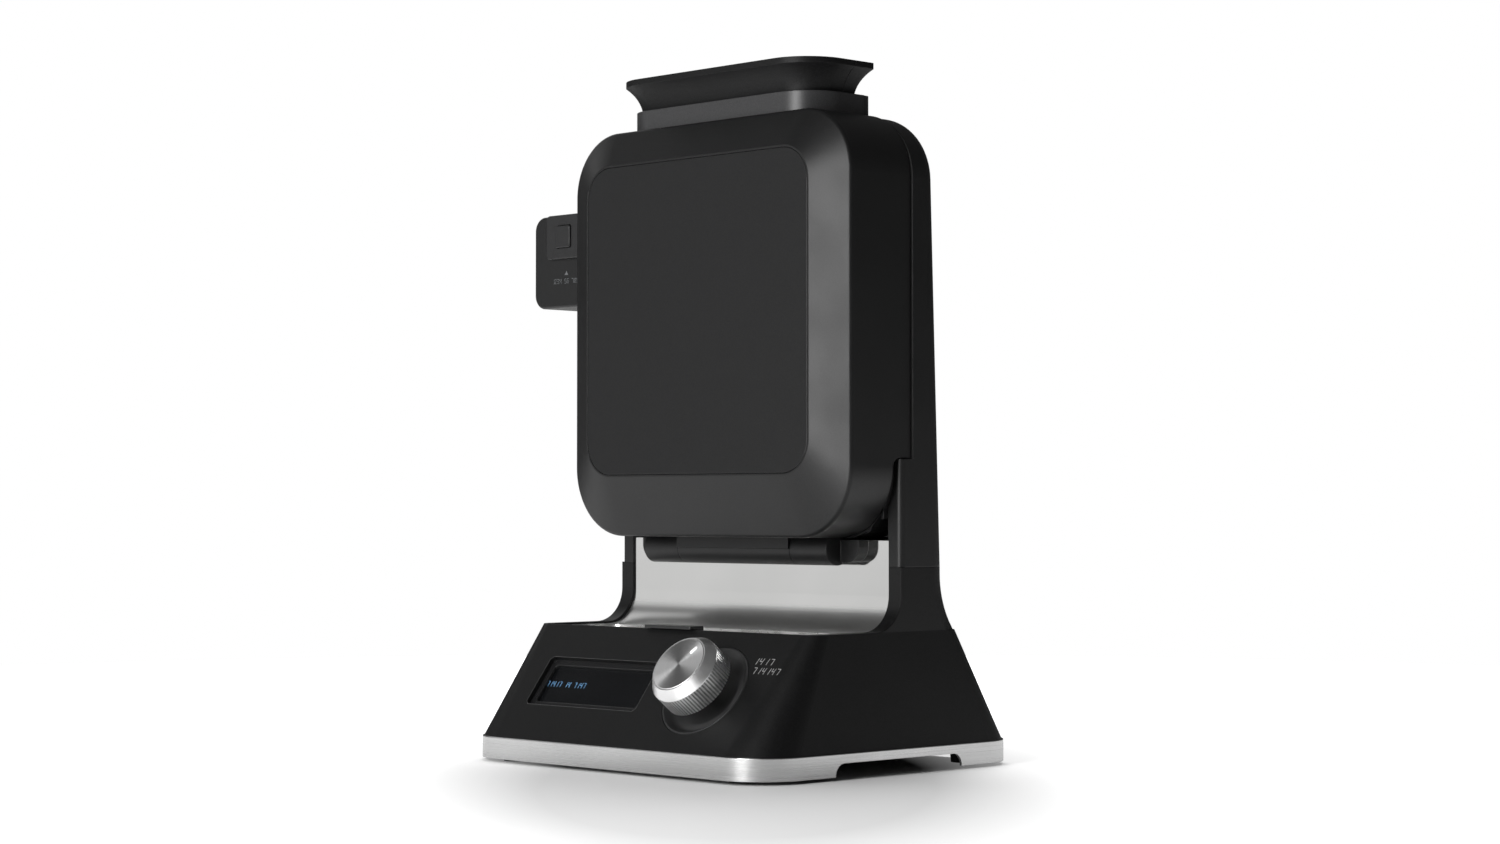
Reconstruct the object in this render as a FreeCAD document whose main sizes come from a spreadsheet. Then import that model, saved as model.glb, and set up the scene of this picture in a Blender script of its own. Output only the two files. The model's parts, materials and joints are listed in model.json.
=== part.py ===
"""Upright batter-fill waffle maker, as a parametric FreeCAD document.

Millimetres, +Z up, the front of the machine towards -Y, +X to the right of a person
who stands in front of it. The origin is on the table, under the middle of the base.
Every driving dimension is a named cell of the spreadsheet "Dims".
"""
import FreeCAD
import Part

import math
import os

import Sketcher
from FreeCAD import Placement, Rotation, Vector

DOC = FreeCAD.newDocument("UprightWaffleMaker")
SHEET = DOC.addObject("Spreadsheet::Sheet", "Dims")

DRIVING = {
    # clearances and walls
    "wall": 3.0,
    "thin_wall": 2.5,
    "sheet": 0.8,
    "gap": 0.3,
    "running": 0.05,
    # base: metal band, tapering shell and deck
    "base_width": 260.0,
    "base_depth": 222.4,
    "base_corner": 31.75,
    "foot_height": 2.0,
    "band_height": 13.1,
    "band_sheet": 1.6,
    "arch_front": 52.0,
    "arch_back": 54.0,
    "arch_top": 9.5,
    "arch_corner": 7.0,
    "shell_inset": 1.1,
    "deck_height": 81.3,
    "deck_front": 59.0,
    "deck_corner": 11.0,
    "deck_back": 64.8,
    "deck_underside": 70.0,
    "pan_floor": 10.2,
    "pan_sheet": 2.5,
    "pan_screw_across": 105.0,
    "pan_screw_along": 80.0,
    "foot_across": 98.0,
    "foot_along": 93.0,
    "foot_radius": 9.5,
    # sloping control panel: places are (across, up the slope) from the middle of its lower edge
    "display_left": -89.0,
    "display_right": 8.5,
    "display_low": 25.2,
    "display_high": 59.7,
    "display_corner": 2.5,
    "bezel_step": 4.0,
    "dial_across": 57.2,
    "dial_up": 42.6,
    "dish_radius": 30.0,
    "knob_radius": 22.3,
    "knob_foot": 7.0,
    "knob_shoulder": 20.5,
    "knob_face": 26.0,
    "knob_top_radius": 17.4,
    "knob_flutes": 72.0,
    "flute_depth": 0.55,
    "shaft_radius": 3.0,
    # tower behind the door
    "tower_width": 241.6,
    "tower_front": 12.0,
    "tower_back": 52.6,
    "tower_back_at_top": 43.9,
    "tower_top": 384.0,
    "tower_corner": 38.0,
    "tower_back_round": 12.0,
    "tower_leg_round": 3.5,
    "seam_height": 118.5,
    "back_knee_radius": 50.0,
    "deck_cove": 21.0,
    "leg_step_height": 182.0,
    "seam_depth": 22.3,
    "hollow_back": 41.5,
    # polished splash panel and drip tray
    "splash_half_width": 110.85,
    "splash_recess": 1.5,
    "splash_top": 134.0,
    "tray_front": 56.5,
    "tray_back": 11.0,
    "well_margin": 13.0,
    "well_border": 4.0,
    "well_depth": 5.7,
    "well_corner": 10.0,
    "tab_half_width": 20.0,
    # door: front half of the clamshell
    "door_half_width": 119.4,
    "door_bottom": 135.4,
    "door_top": 385.2,
    "door_corner_top": 38.0,
    "door_corner_bottom": 42.0,
    "bevel_edge": 28.0,
    "door_face": 39.8,
    "panel_side_margin": 24.0,
    "panel_bottom": 173.0,
    "panel_top": 362.2,
    "panel_corner": 20.0,
    "panel_sheet": 2.5,
    "panel_land": 1.2,
    "door_notch_depth": 6.5,
    "door_seam": 0.6,
    "notch_round": 6.0,
    # cooking plates, one in each half
    "mating_plane": 8.5,
    "plate_side_margin": 19.4,
    "plate_bottom": 152.0,
    "plate_top": 366.0,
    "plate_corner": 14.0,
    "plate_thick": 17.0,
    "plate_rim": 7.0,
    "stud_recess": 2.6,
    "cavity_depth": 12.0,
    "channel": 9.0,
    "studs_across": 8.0,
    "neck_half_width": 20.0,
    "neck_depth": 8.0,
    "heater_radius": 3.2,
    "heater_half_width": 70.0,
    "heater_bottom": 185.0,
    "heater_top": 333.0,
    "heater_corner": 30.0,
    "terminal_across": 12.0,
    # batter funnel and its collar
    "collar_half_width": 82.4,
    "collar_front": 24.3,
    "collar_corner": 25.0,
    "collar_wall": 4.4,
    "collar_top": 397.5,
    "funnel_front": 21.2,
    "funnel_back": 20.9,
    "rim_half_width": 87.0,
    "rim_front": 30.7,
    "rim_back": 27.5,
    "rim_corner": 27.4,
    "funnel_rear_corner": 4.0,
    "rim_top": 416.5,
    "rim_band": 3.5,
    "funnel_wall": 2.6,
    # hinge under the door
    "hinge_y": 2.4,
    "hinge_z": 128.7,
    "knuckle_radius": 9.65,
    "knuckle_end": 78.9,
    "knuckle_split": 48.4,
    "hinge_pin_radius": 3.0,
    "bush_wall": 2.0,
    "bush_length": 10.0,
    "bracket_half_width": 93.4,
    "bracket_front": 5.0,
    "bracket_bottom": 121.0,
    "bracket_corner": 9.0,
    # side handle with its latch
    "handle_end": 170.0,
    "handle_bottom": 280.0,
    "handle_top": 339.0,
    "handle_corner": 9.0,
    "handle_front": 20.0,
    "handle_back": 34.0,
    "latch_block_end": 155.0,
    "latch_block_bottom": 311.0,
    "latch_block_proud": 3.0,
    "button_across": 138.0,
    "button_height": 325.0,
    "button_width": 13.5,
    "button_tall": 14.0,
    "button_proud": 1.0,
    "button_depth": 6.5,
    "button_stroke": 2.5,
    "stem_radius": 1.5,
    "hook_pivot_across": 150.0,
    "hook_pin_radius": 1.5,
    "hook_thick": 10.0,
    # screws
    "screw_radius": 1.8,
    "screw_head": 3.4,
    "screw_head_tall": 2.2,
    "boss_radius": 5.0,
}


class Size:
    """A length that carries its number and the spreadsheet formula that it comes from."""

    def __init__(self, value, formula):
        self.value = float(value)
        self.formula = formula

    def __add__(self, other):
        other = as_size(other)
        return Size(self.value + other.value, f"({self.formula} + {other.formula})")

    def __sub__(self, other):
        other = as_size(other)
        return Size(self.value - other.value, f"({self.formula} - {other.formula})")

    def __mul__(self, other):
        other = as_size(other)
        return Size(self.value * other.value, f"({self.formula} * {other.formula})")

    def __truediv__(self, other):
        other = as_size(other)
        return Size(self.value / other.value, f"({self.formula} / {other.formula})")

    def __neg__(self):
        return Size(-self.value, f"(0 - {self.formula})")

    def __radd__(self, other):
        return as_size(other) + self

    def __rsub__(self, other):
        return as_size(other) - self

    def __rmul__(self, other):
        return as_size(other) * self


def as_size(item):
    """Lets a plain number stand beside named sizes in a sum."""
    return item if isinstance(item, Size) else Size(item, f"({float(item)!r})")


def hypotenuse(across, up):
    """The length of a slope from its run and its rise."""
    length = math.hypot(across.value, up.value)
    return Size(length, f"sqrt({across.formula} ^ 2 + {up.formula} ^ 2)")


class Dims:
    """Attribute access to the named cells, such as D.base_width."""

    def __init__(self, table):
        for row, (name, value) in enumerate(table.items(), 1):
            SHEET.set(f"A{row}", name)
            SHEET.set(f"B{row}", str(value))
            SHEET.setAlias(f"B{row}", name)
            setattr(self, name, Size(value, f"Dims.{name}"))
        DOC.recompute()


D = Dims(DRIVING)

# ---------------------------------------------------------------- shared places

SHELL_HALF_WIDTH = D.base_width / 2 - D.shell_inset
SHELL_HALF_DEPTH = D.base_depth / 2 - D.shell_inset
BAND_TOP = D.foot_height + D.band_height
TOWER_HALF = D.tower_width / 2

# the control panel is a plane that leans back from the shell's front lower edge to the deck
SLOPE_RUN = SHELL_HALF_DEPTH - D.deck_front
SLOPE_RISE = D.deck_height - BAND_TOP
SLOPE_LENGTH = hypotenuse(SLOPE_RUN, SLOPE_RISE)
PANEL_PITCH = math.degrees(math.atan2(SLOPE_RISE.value, SLOPE_RUN.value))
PANEL_PITCH_FORMULA = f"atan2({SLOPE_RISE.formula}; {SLOPE_RUN.formula})"

# depths of what is stacked behind the control panel's outer face
BEZEL_BACK = D.wall + 3.5
BOARD_FACE = BEZEL_BACK + 7.4
BOARD_SHEET = 1.6
DISH_FLOOR = 5.0

FACE_FRONT = D.mating_plane - D.gap / 2      # front half's mating face
FACE_REAR = D.mating_plane + D.gap / 2       # rear half's mating face
SHEET_BACK = D.tower_front + D.splash_recess + D.sheet
SILL_BACK = SHEET_BACK + D.wall
SHEET_TOP_FACE = D.deck_height - 1.0         # polished metal lies 1 mm below the deck's rim
SHEET_UNDERSIDE = SHEET_TOP_FACE - D.sheet
DOOR_BACK = D.seam_depth - D.door_seam

REAR_PLATE_BACK = FACE_REAR + D.plate_thick
REAR_HEATER_Y = REAR_PLATE_BACK + D.gap / 2 + D.heater_radius
REAR_REFLECTOR = REAR_HEATER_Y + D.heater_radius + D.gap
REAR_COVER = REAR_REFLECTOR + D.sheet + D.gap
COVER_SHEET = 2.0
FRONT_PLATE_BACK = FACE_FRONT - D.plate_thick
FRONT_HEATER_Y = FRONT_PLATE_BACK - D.gap / 2 - D.heater_radius
FRONT_REFLECTOR = FRONT_HEATER_Y - D.heater_radius - D.gap - D.sheet

PANEL_HALF = D.door_half_width - D.panel_side_margin
PLATE_HALF = D.door_half_width - D.plate_side_margin
HOUSING_HALF = D.door_half_width - D.wall - 0.8
HOUSING_BOTTOM = D.splash_top + 0.5
HOUSING_TOP = D.tower_top - D.wall - 0.6
HOUSING_LEG_HALF = D.splash_half_width - 0.85
HOUSING_LEG_DEPTH = D.tower_front - D.gap
HOUSING_BOSSES = [
    (PLATE_HALF - 10.0, D.plate_top + 7.0),
    (PLATE_HALF - 5.0, D.plate_bottom - 8.5),
]
KNUCKLE_RELIEF = D.knuckle_radius + D.gap * 2
SPRING_SEAT = as_size(-11.5)
NECK_OUTER = D.neck_half_width + D.funnel_wall
NECK_OUTER_DEPTH = D.neck_depth + D.funnel_wall

# ---------------------------------------------------------------- drawing helpers

PLANE_ROLES = {"XY": "XY_Plane", "XZ": "XZ_Plane", "YZ": "YZ_Plane", "PANEL": "XY_Plane"}
PARTS = []


def bind(item, path, amount):
    """Ties one property to its spreadsheet formula."""
    item.setExpression(path, as_size(amount).formula)


def new_body(label):
    """A new sub-part; its label names its file."""
    body = DOC.addObject("PartDesign::Body", label)
    body.Label = label
    body.AllowCompound = True
    PARTS.append(body)
    return body


def on_panel(body):
    """Stands a body on the control panel: X across, Y up the slope, Z out of the panel."""
    origin = Vector(0, -SHELL_HALF_DEPTH.value, BAND_TOP.value)
    body.Placement = Placement(origin, Rotation(Vector(1, 0, 0), PANEL_PITCH))
    bind(body, "Placement.Base.y", -SHELL_HALF_DEPTH)
    bind(body, "Placement.Base.z", BAND_TOP)
    body.setExpression("Placement.Rotation.Angle", PANEL_PITCH_FORMULA)


def origin_feature(body, role):
    """One of a body's own origin planes or axes."""
    return next(item for item in body.Origin.OriginFeatures if item.Role == role)


def new_sketch(body, plane, place):
    """A sketch on one of the body's planes, at a place along that plane's axis.

    XY sits at a height Z, XZ at a depth Y and YZ at a width X. PANEL sits at a height
    above the sloping control panel.
    """
    sketch = body.newObject("Sketcher::SketchObject", "Sketch")
    sketch.AttachmentSupport = [(origin_feature(body, PLANE_ROLES[plane]), "")]
    sketch.MapMode = "FlatFace"
    place = as_size(place)
    if plane == "PANEL":
        y = -SHELL_HALF_DEPTH - place * SLOPE_RISE / SLOPE_LENGTH
        z = BAND_TOP + place * SLOPE_RUN / SLOPE_LENGTH
        turn = Rotation(Vector(1, 0, 0), PANEL_PITCH)
        sketch.AttachmentOffset = Placement(Vector(0, y.value, z.value), turn)
        bind(sketch, "AttachmentOffset.Base.y", y)
        bind(sketch, "AttachmentOffset.Base.z", z)
        sketch.setExpression("AttachmentOffset.Rotation.Angle", PANEL_PITCH_FORMULA)
        return sketch
    along = -place if plane == "XZ" else place
    sketch.AttachmentOffset = Placement(Vector(0, 0, along.value), Rotation())
    bind(sketch, "AttachmentOffset.Base.z", along)
    return sketch


def fix_point(sketch, item, corner, u, v):
    """Holds one point of a sketch at (u, v), tied to the sheet."""
    for kind, axis, amount in (("DistanceX", -2, u), ("DistanceY", -1, v)):
        if abs(amount.value) < 1e-9:
            sketch.addConstraint(Sketcher.Constraint("PointOnObject", item, corner, axis))
            continue
        rule = Sketcher.Constraint(kind, -1, 1, item, corner, amount.value)
        number = sketch.addConstraint(rule)
        bind(sketch, f"Constraints[{number}]", amount)


def draw_circle(sketch, u, v, radius):
    """A full circle."""
    u, v, radius = as_size(u), as_size(v), as_size(radius)
    shape = Part.Circle(Vector(u.value, v.value, 0), Vector(0, 0, 1), radius.value)
    item = sketch.addGeometry(shape, False)
    number = sketch.addConstraint(Sketcher.Constraint("Radius", item, radius.value))
    bind(sketch, f"Constraints[{number}]", radius)
    fix_point(sketch, item, 3, u, v)


def draw_outline(sketch, corners):
    """A closed outline through its corners: (u, v), or (u, v, radius) for a rounded one."""
    corners = [[as_size(amount) for amount in corner] for corner in corners]
    points = [Vector(corner[0].value, corner[1].value, 0) for corner in corners]
    count = len(points)
    ends = []
    for i, corner in enumerate(corners):
        back = (points[i - 1] - points[i]).normalize()
        ahead = (points[(i + 1) % count] - points[i]).normalize()
        half = back.getAngle(ahead) / 2
        reach = corner[2].value / math.tan(half) if len(corner) == 3 else 0.0
        ends.append((points[i] + back * reach, points[i] + ahead * reach, back, ahead, half))
    lines = []
    for i in range(count):
        start, finish = ends[i][1], ends[(i + 1) % count][0]
        lines.append(sketch.addGeometry(Part.LineSegment(start, finish), False))
    for i, corner in enumerate(corners):
        arrive, leave, back, ahead, half = ends[i]
        before = lines[i - 1]
        if len(corner) == 2:
            joint = Sketcher.Constraint("Coincident", before, 2, lines[i], 1)
            sketch.addConstraint(joint)
            fix_point(sketch, lines[i], 1, corner[0], corner[1])
            continue
        radius = corner[2]
        centre = points[i] + (back + ahead).normalize() * (radius.value / math.sin(half))
        turns_left = back.cross(ahead).z < 0
        first, last = (arrive, leave) if turns_left else (leave, arrive)
        start = math.atan2(first.y - centre.y, first.x - centre.x)
        finish = math.atan2(last.y - centre.y, last.x - centre.x)
        if finish < start:
            finish += 2 * math.pi
        circle = Part.Circle(centre, Vector(0, 0, 1), radius.value)
        arc = sketch.addGeometry(Part.ArcOfCircle(circle, start, finish), False)
        enter, leave_end = (1, 2) if turns_left else (2, 1)
        sketch.addConstraint(Sketcher.Constraint("Tangent", before, 2, arc, enter))
        sketch.addConstraint(Sketcher.Constraint("Tangent", arc, leave_end, lines[i], 1))
        number = sketch.addConstraint(Sketcher.Constraint("Radius", arc, radius.value))
        bind(sketch, f"Constraints[{number}]", radius)
        apex = sketch.addGeometry(Part.Point(points[i]), True)
        sketch.addConstraint(Sketcher.Constraint("PointOnObject", apex, 1, before))
        sketch.addConstraint(Sketcher.Constraint("PointOnObject", apex, 1, lines[i]))
        fix_point(sketch, apex, 1, corner[0], corner[1])


def draw(sketch, loops):
    """Draws each loop: a list of corners, or a (u, v, radius) tuple for a circle."""
    for loop in loops:
        if isinstance(loop, tuple):
            draw_circle(sketch, *loop)
        else:
            draw_outline(sketch, loop)


def rect(left, right, low, high, radius=None):
    """A rectangle's corners; radius rounds them all."""
    corners = [(left, low), (right, low), (right, high), (left, high)]
    return [corner + (radius,) for corner in corners] if radius else corners


def sides(half_width, low, high, radius=None):
    """A rectangle that is centred on X = 0."""
    return rect(-half_width, half_width, low, high, radius)


def pad(body, plane, loops, low, high):
    """Adds the outline between two places along the plane's axis."""
    low, high = as_size(low), as_size(high)
    sketch = new_sketch(body, plane, high if plane == "XZ" else low)
    draw(sketch, loops)
    feature = body.newObject("PartDesign::Pad", "Pad")
    feature.Profile = sketch
    feature.Length = high.value - low.value
    bind(feature, "Length", high - low)
    return feature


def pocket(body, plane, loops, low, high):
    """Cuts the outline away between two places along the plane's axis."""
    low, high = as_size(low), as_size(high)
    sketch = new_sketch(body, plane, low if plane == "XZ" else high)
    draw(sketch, loops)
    feature = body.newObject("PartDesign::Pocket", "Pocket")
    feature.Profile = sketch
    feature.Length = high.value - low.value
    bind(feature, "Length", high - low)
    return feature


def loft(body, kind, plane, sections):
    """Lofts through (place, outline) sections; kind is AdditiveLoft or SubtractiveLoft."""
    sketches = []
    for place, outline in sections:
        sketch = new_sketch(body, plane, place)
        draw(sketch, [outline])
        sketches.append(sketch)
    feature = body.newObject(f"PartDesign::{kind}", "Loft")
    feature.Profile = sketches[0]
    feature.Sections = sketches[1:]
    return feature


def revolve(body, plane, outline, axis="Z_Axis"):
    """Turns an outline once around one of the body's own axes."""
    sketch = new_sketch(body, plane, 0.0)
    draw(sketch, [outline])
    feature = body.newObject("PartDesign::Revolution", "Revolution")
    feature.Profile = sketch
    feature.ReferenceAxis = (origin_feature(body, axis), [""])
    feature.Angle = 360.0
    return feature


def repeat_along(body, feature, axis, length, count):
    """Repeats a feature in a row; length is from the first to the last."""
    row = body.newObject("PartDesign::LinearPattern", "Row")
    row.Originals = [feature]
    row.Direction = (origin_feature(body, axis), [""])
    row.Length = length.value
    bind(row, "Length", length)
    row.Occurrences = int(round(as_size(count).value))
    bind(row, "Occurrences", count)
    body.Tip = row
    return row


def round_edges(body, radius, chosen):
    """Rounds the body's edges for which chosen(edge) is true."""
    DOC.recompute()
    tip = body.Tip
    names = [f"Edge{i}" for i, edge in enumerate(tip.Shape.Edges, 1) if chosen(edge)]
    if not names:
        raise RuntimeError(f"{body.Label}: no edge to round")
    feature = body.newObject("PartDesign::Fillet", "Fillet")
    feature.Base = (tip, names)
    feature.Radius = as_size(radius).value
    bind(feature, "Radius", radius)
    return feature


def edge_box(edge):
    """An edge's bounding box, for choosing edges by place."""
    return edge.BoundBox


def near(value, target, slack=0.05):
    """True where two places agree."""
    return abs(value - as_size(target).value) < slack


def mirrored(across, up):
    """One place on each side of the middle."""
    return [(across, up), (-across, up)]


def group(label, items):
    """One node that holds several separate solids."""
    bundle = DOC.addObject("Part::Compound", label)
    bundle.Label = label
    bundle.Links = items
    PARTS.append(bundle)
    return bundle


def turned(name, axis, x, y, z, radius, length, top_radius=None):
    """A plain cylinder or cone along +X, +Y or +Z from (x, y, z)."""
    kind = "Part::Cone" if top_radius is not None else "Part::Cylinder"
    item = DOC.addObject(kind, name)
    if top_radius is None:
        bind(item, "Radius", radius)
    else:
        bind(item, "Radius1", radius)
        bind(item, "Radius2", top_radius)
    bind(item, "Height", length)
    spins = {"+Z": Rotation(), "+X": Rotation(Vector(0, 1, 0), 90),
             "+Y": Rotation(Vector(1, 0, 0), -90), "-Y": Rotation(Vector(1, 0, 0), 90)}
    place = [as_size(amount) for amount in (x, y, z)]
    item.Placement = Placement(Vector(*[amount.value for amount in place]), spins[axis])
    for letter, amount in zip("xyz", place):
        bind(item, f"Placement.Base.{letter}", amount)
    return item


def screw(name, axis, x, y, z, shank):
    """A round-headed screw whose head rests at (x, y, z) and whose shank runs along axis."""
    x, y, z = as_size(x), as_size(y), as_size(z)
    tall = D.screw_head_tall
    behind = {"+Z": (x, y, z - tall), "-Y": (x, y + tall, z), "+Y": (x, y - tall, z)}[axis]
    head = turned(name + "_head", axis, *behind, D.screw_head, tall)
    body = turned(name + "_shank", axis, x, y, z, D.screw_radius, shank)
    whole = DOC.addObject("Part::Fuse", name)
    whole.Base = head
    whole.Tool = body
    return whole


# ---------------------------------------------------------------- base

def back_slope(height):
    """Depth of the base's sloping back at a height; the tower's foot flares along it."""
    lean = (SHELL_HALF_DEPTH - D.deck_back) / SLOPE_RISE
    return D.deck_back + (D.deck_height - height) * lean


def slope_at(height):
    """How far the base's sides have drawn in at a height, as a share of the whole slope."""
    return (height - BAND_TOP) / SLOPE_RISE


def boss_top(side):
    """The height at which a screw boss at the front (-1) or back (1) meets the sloping wall."""
    run = SLOPE_RUN if side < 0 else SHELL_HALF_DEPTH - D.deck_back
    return BAND_TOP + (SHELL_HALF_DEPTH - D.pan_screw_along - D.boss_radius * 1.4) \
        * SLOPE_RISE / run


def build_base_shell():
    """Moulded base: tapering skirt, sloping control panel, deck and the tower's stub."""
    body = new_body("base_shell")
    root = 14.0
    lean = SLOPE_RISE / (SHELL_HALF_DEPTH - D.deck_back)
    knee = D.deck_height + (D.deck_back - D.tower_back) * lean
    stub = [
        (D.tower_front - D.deck_cove - root, D.deck_height - root),
        (back_slope(D.deck_height - root), D.deck_height - root),
        (D.tower_back, knee, D.back_knee_radius),
        (D.tower_back, D.seam_height),
        (D.tower_front, D.seam_height),
        (D.tower_front, D.deck_height, D.deck_cove),
        (D.tower_front - D.deck_cove - root, D.deck_height),
    ]
    pad(body, "YZ", [stub], -TOWER_HALF, TOWER_HALF)
    round_edges(body, D.tower_back_round, lambda edge: (
        edge_box(edge).XLength < 0.01 and edge_box(edge).YMin > D.tower_back.value - 0.1))
    foot = sides(SHELL_HALF_WIDTH, -SHELL_HALF_DEPTH, SHELL_HALF_DEPTH,
                 D.base_corner - D.shell_inset)
    deck = sides(TOWER_HALF, -D.deck_front, D.deck_back, D.deck_corner)
    loft(body, "AdditiveLoft", "XY", [(BAND_TOP, foot), (D.deck_height, deck)])
    hollow_base(body)
    splash = [
        (-D.tray_front, SHEET_UNDERSIDE),
        (SHEET_BACK, SHEET_UNDERSIDE, D.deck_cove + D.sheet),
        (SHEET_BACK, D.seam_height + 1.0),
        (-D.tray_front, D.seam_height + 1.0),
    ]
    pocket(body, "YZ", [splash], -D.splash_half_width, D.splash_half_width)
    well = tray_well(D.gap * 2)
    pocket(body, "XY", [well], SHEET_UNDERSIDE - D.well_depth - D.gap, SHEET_UNDERSIDE)
    window = rect(D.display_left, D.display_right, D.display_low, D.display_high,
                  D.display_corner)
    pocket(body, "PANEL", [window], -2 * D.wall, D.wall)
    dish = (D.dial_across, D.dial_up, D.dish_radius + D.gap)
    pocket(body, "PANEL", [dish], -2 * D.wall, D.wall)
    flange = (D.dial_across, D.dial_up, D.dish_radius + D.wall + D.gap)
    pocket(body, "PANEL", [flange], -DISH_FLOOR - 1.5 - D.gap, -D.wall)
    gland = (-D.base_width / 4, D.deck_height / 3, 7.0 + D.gap)
    pocket(body, "XZ", [gland], D.base_depth / 4, D.base_depth / 2)
    return body


def hollow_base(body):
    """Hollows the skirt and the stub, then stands the screw bosses in them."""
    inset = D.wall * SLOPE_LENGTH / SLOPE_RISE
    share = slope_at(D.deck_underside)
    width_in = (SHELL_HALF_WIDTH - TOWER_HALF) * share
    front_in = SLOPE_RUN * share
    back_in = (SHELL_HALF_DEPTH - D.deck_back) * share
    corner_in = (D.base_corner - D.shell_inset - D.deck_corner) * share
    low = rect(-SHELL_HALF_WIDTH + D.wall, SHELL_HALF_WIDTH - D.wall,
               -SHELL_HALF_DEPTH + inset, SHELL_HALF_DEPTH - inset,
               D.base_corner - D.shell_inset - D.wall)
    high = rect(-SHELL_HALF_WIDTH + D.wall + width_in, SHELL_HALF_WIDTH - D.wall - width_in,
                -SHELL_HALF_DEPTH + inset + front_in, SHELL_HALF_DEPTH - inset - back_in,
                D.base_corner - D.shell_inset - D.wall - corner_in)
    loft(body, "SubtractiveLoft", "XY", [(BAND_TOP, low), (D.deck_underside, high)])
    chimney = sides(TOWER_HALF - D.wall, SILL_BACK, D.tower_back - D.wall)
    pocket(body, "XY", [chimney], D.deck_underside - 5.0, D.seam_height)
    for across, along in tower_screw_places():
        pad(body, "XY", [(across, along, D.boss_radius)],
            D.deck_underside - 8.0, D.seam_height)
        pocket(body, "XY", [(across, along, D.screw_radius + 0.1)],
               D.deck_underside - 9.0, D.seam_height)
    floor = D.pan_floor + D.pan_sheet
    for across, along in pan_screw_places():
        top = boss_top(along.value)
        pad(body, "XY", [(across, along, D.boss_radius)], floor, top)
        pocket(body, "XY", [(across, along, D.screw_radius + 0.1)], floor, floor + 22.0)


def tower_screw_places():
    """Screws that hold the tower on the base's stub."""
    across = TOWER_HALF - D.wall - 4.0
    ahead = SILL_BACK + D.boss_radius + 1.0
    behind = D.tower_back - D.tower_back_round
    return [(side * across, along) for side in (1, -1) for along in (ahead, behind)]


def pan_screw_places():
    """Screws that hold the bottom pan in the base."""
    return [(x * D.pan_screw_across, y * D.pan_screw_along) for x in (1, -1) for y in (1, -1)]


def tray_well(grow):
    """The outline of the drip tray's well, grown all round."""
    half = D.splash_half_width - D.well_margin + grow
    return sides(half, -D.tray_front + D.well_border - grow,
                 -D.tray_back - D.well_border + grow, D.well_corner + grow)


def build_trim_band():
    """Brushed metal band round the foot of the base, arched at both sides."""
    body = new_body("base_trim_band")
    half, deep = D.base_width / 2, D.base_depth / 2
    skin = D.band_sheet
    pad(body, "XY", [sides(half, -deep, deep, D.base_corner),
                     sides(half - skin, -deep + skin, deep - skin, D.base_corner - skin)],
        D.foot_height, BAND_TOP)
    low = D.foot_height - D.arch_corner * 2
    arch = rect(-D.arch_front, D.arch_back, low, D.arch_top, D.arch_corner)
    pocket(body, "YZ", [arch], -half - 1.0, half + 1.0)
    round_edges(body, 0.6, lambda edge: (
        near(edge_box(edge).ZMin, BAND_TOP) and near(edge_box(edge).ZMax, BAND_TOP)
        and max(edge_box(edge).XMax, -edge_box(edge).XMin) > half.value - D.base_corner.value
        and on_outer_wall(edge, half, deep)))
    return body


def on_outer_wall(edge, half, deep):
    """True for an edge of the band's outer outline rather than its inner one."""
    corner = D.base_corner.value
    point = edge.valueAt((edge.FirstParameter + edge.LastParameter) / 2)
    over_x = max(abs(point.x) - (half.value - corner), 0.0)
    over_y = max(abs(point.y) - (deep.value - corner), 0.0)
    return abs(math.hypot(over_x, over_y) - corner) < 0.1


def build_base_pan():
    """Bottom pan: closes the base, carries the feet and the power board."""
    body = new_body("base_pan")
    slack = D.band_sheet + D.gap
    half, deep = D.base_width / 2 - slack, D.base_depth / 2 - slack
    corner = D.base_corner - slack
    floor = D.pan_floor + D.pan_sheet
    rim = D.wall
    pad(body, "XY", [sides(half, -deep, deep, corner)], D.pan_floor, floor)
    pad(body, "XY", [sides(half, -deep, deep, corner),
                     sides(half - rim, -deep + rim, deep - rim, corner - rim)],
        floor, BAND_TOP)
    for across, along in board_posts():
        pad(body, "XY", [(across, along, D.wall)], floor, floor + 5.0)
    for across, along in pan_screw_places():
        pocket(body, "XY", [(across, along, D.screw_radius + 0.2)], D.pan_floor, floor)
    return body


def board_posts():
    """Posts that carry the power board."""
    return [(x, y) for x in (-70.0, 20.0) for y in (-5.0, 50.0)]


def build_feet_and_screws():
    """Rubber feet under the pan's corners and middle, the pan's screws and the tower's screws."""
    places = [(0.0, 0.0)]
    for x in (1, -1):
        for y in (1, -1):
            places.append((x * D.foot_across, y * D.foot_along))
    group("rubber_feet", [turned("foot", "+Z", x, y, 0.0, D.foot_radius - 1.0, D.pan_floor,
                                 D.foot_radius) for x, y in places])
    group("base_screws", [screw("pan_screw", "+Z", x, y, D.pan_floor, as_size(20.0))
                          for x, y in pan_screw_places()])
    start = D.deck_underside - 8.0
    group("tower_screws", [screw("tower_screw", "+Z", x, y, start,
                                 D.seam_height - start + 14.0)
                           for x, y in tower_screw_places()])


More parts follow.
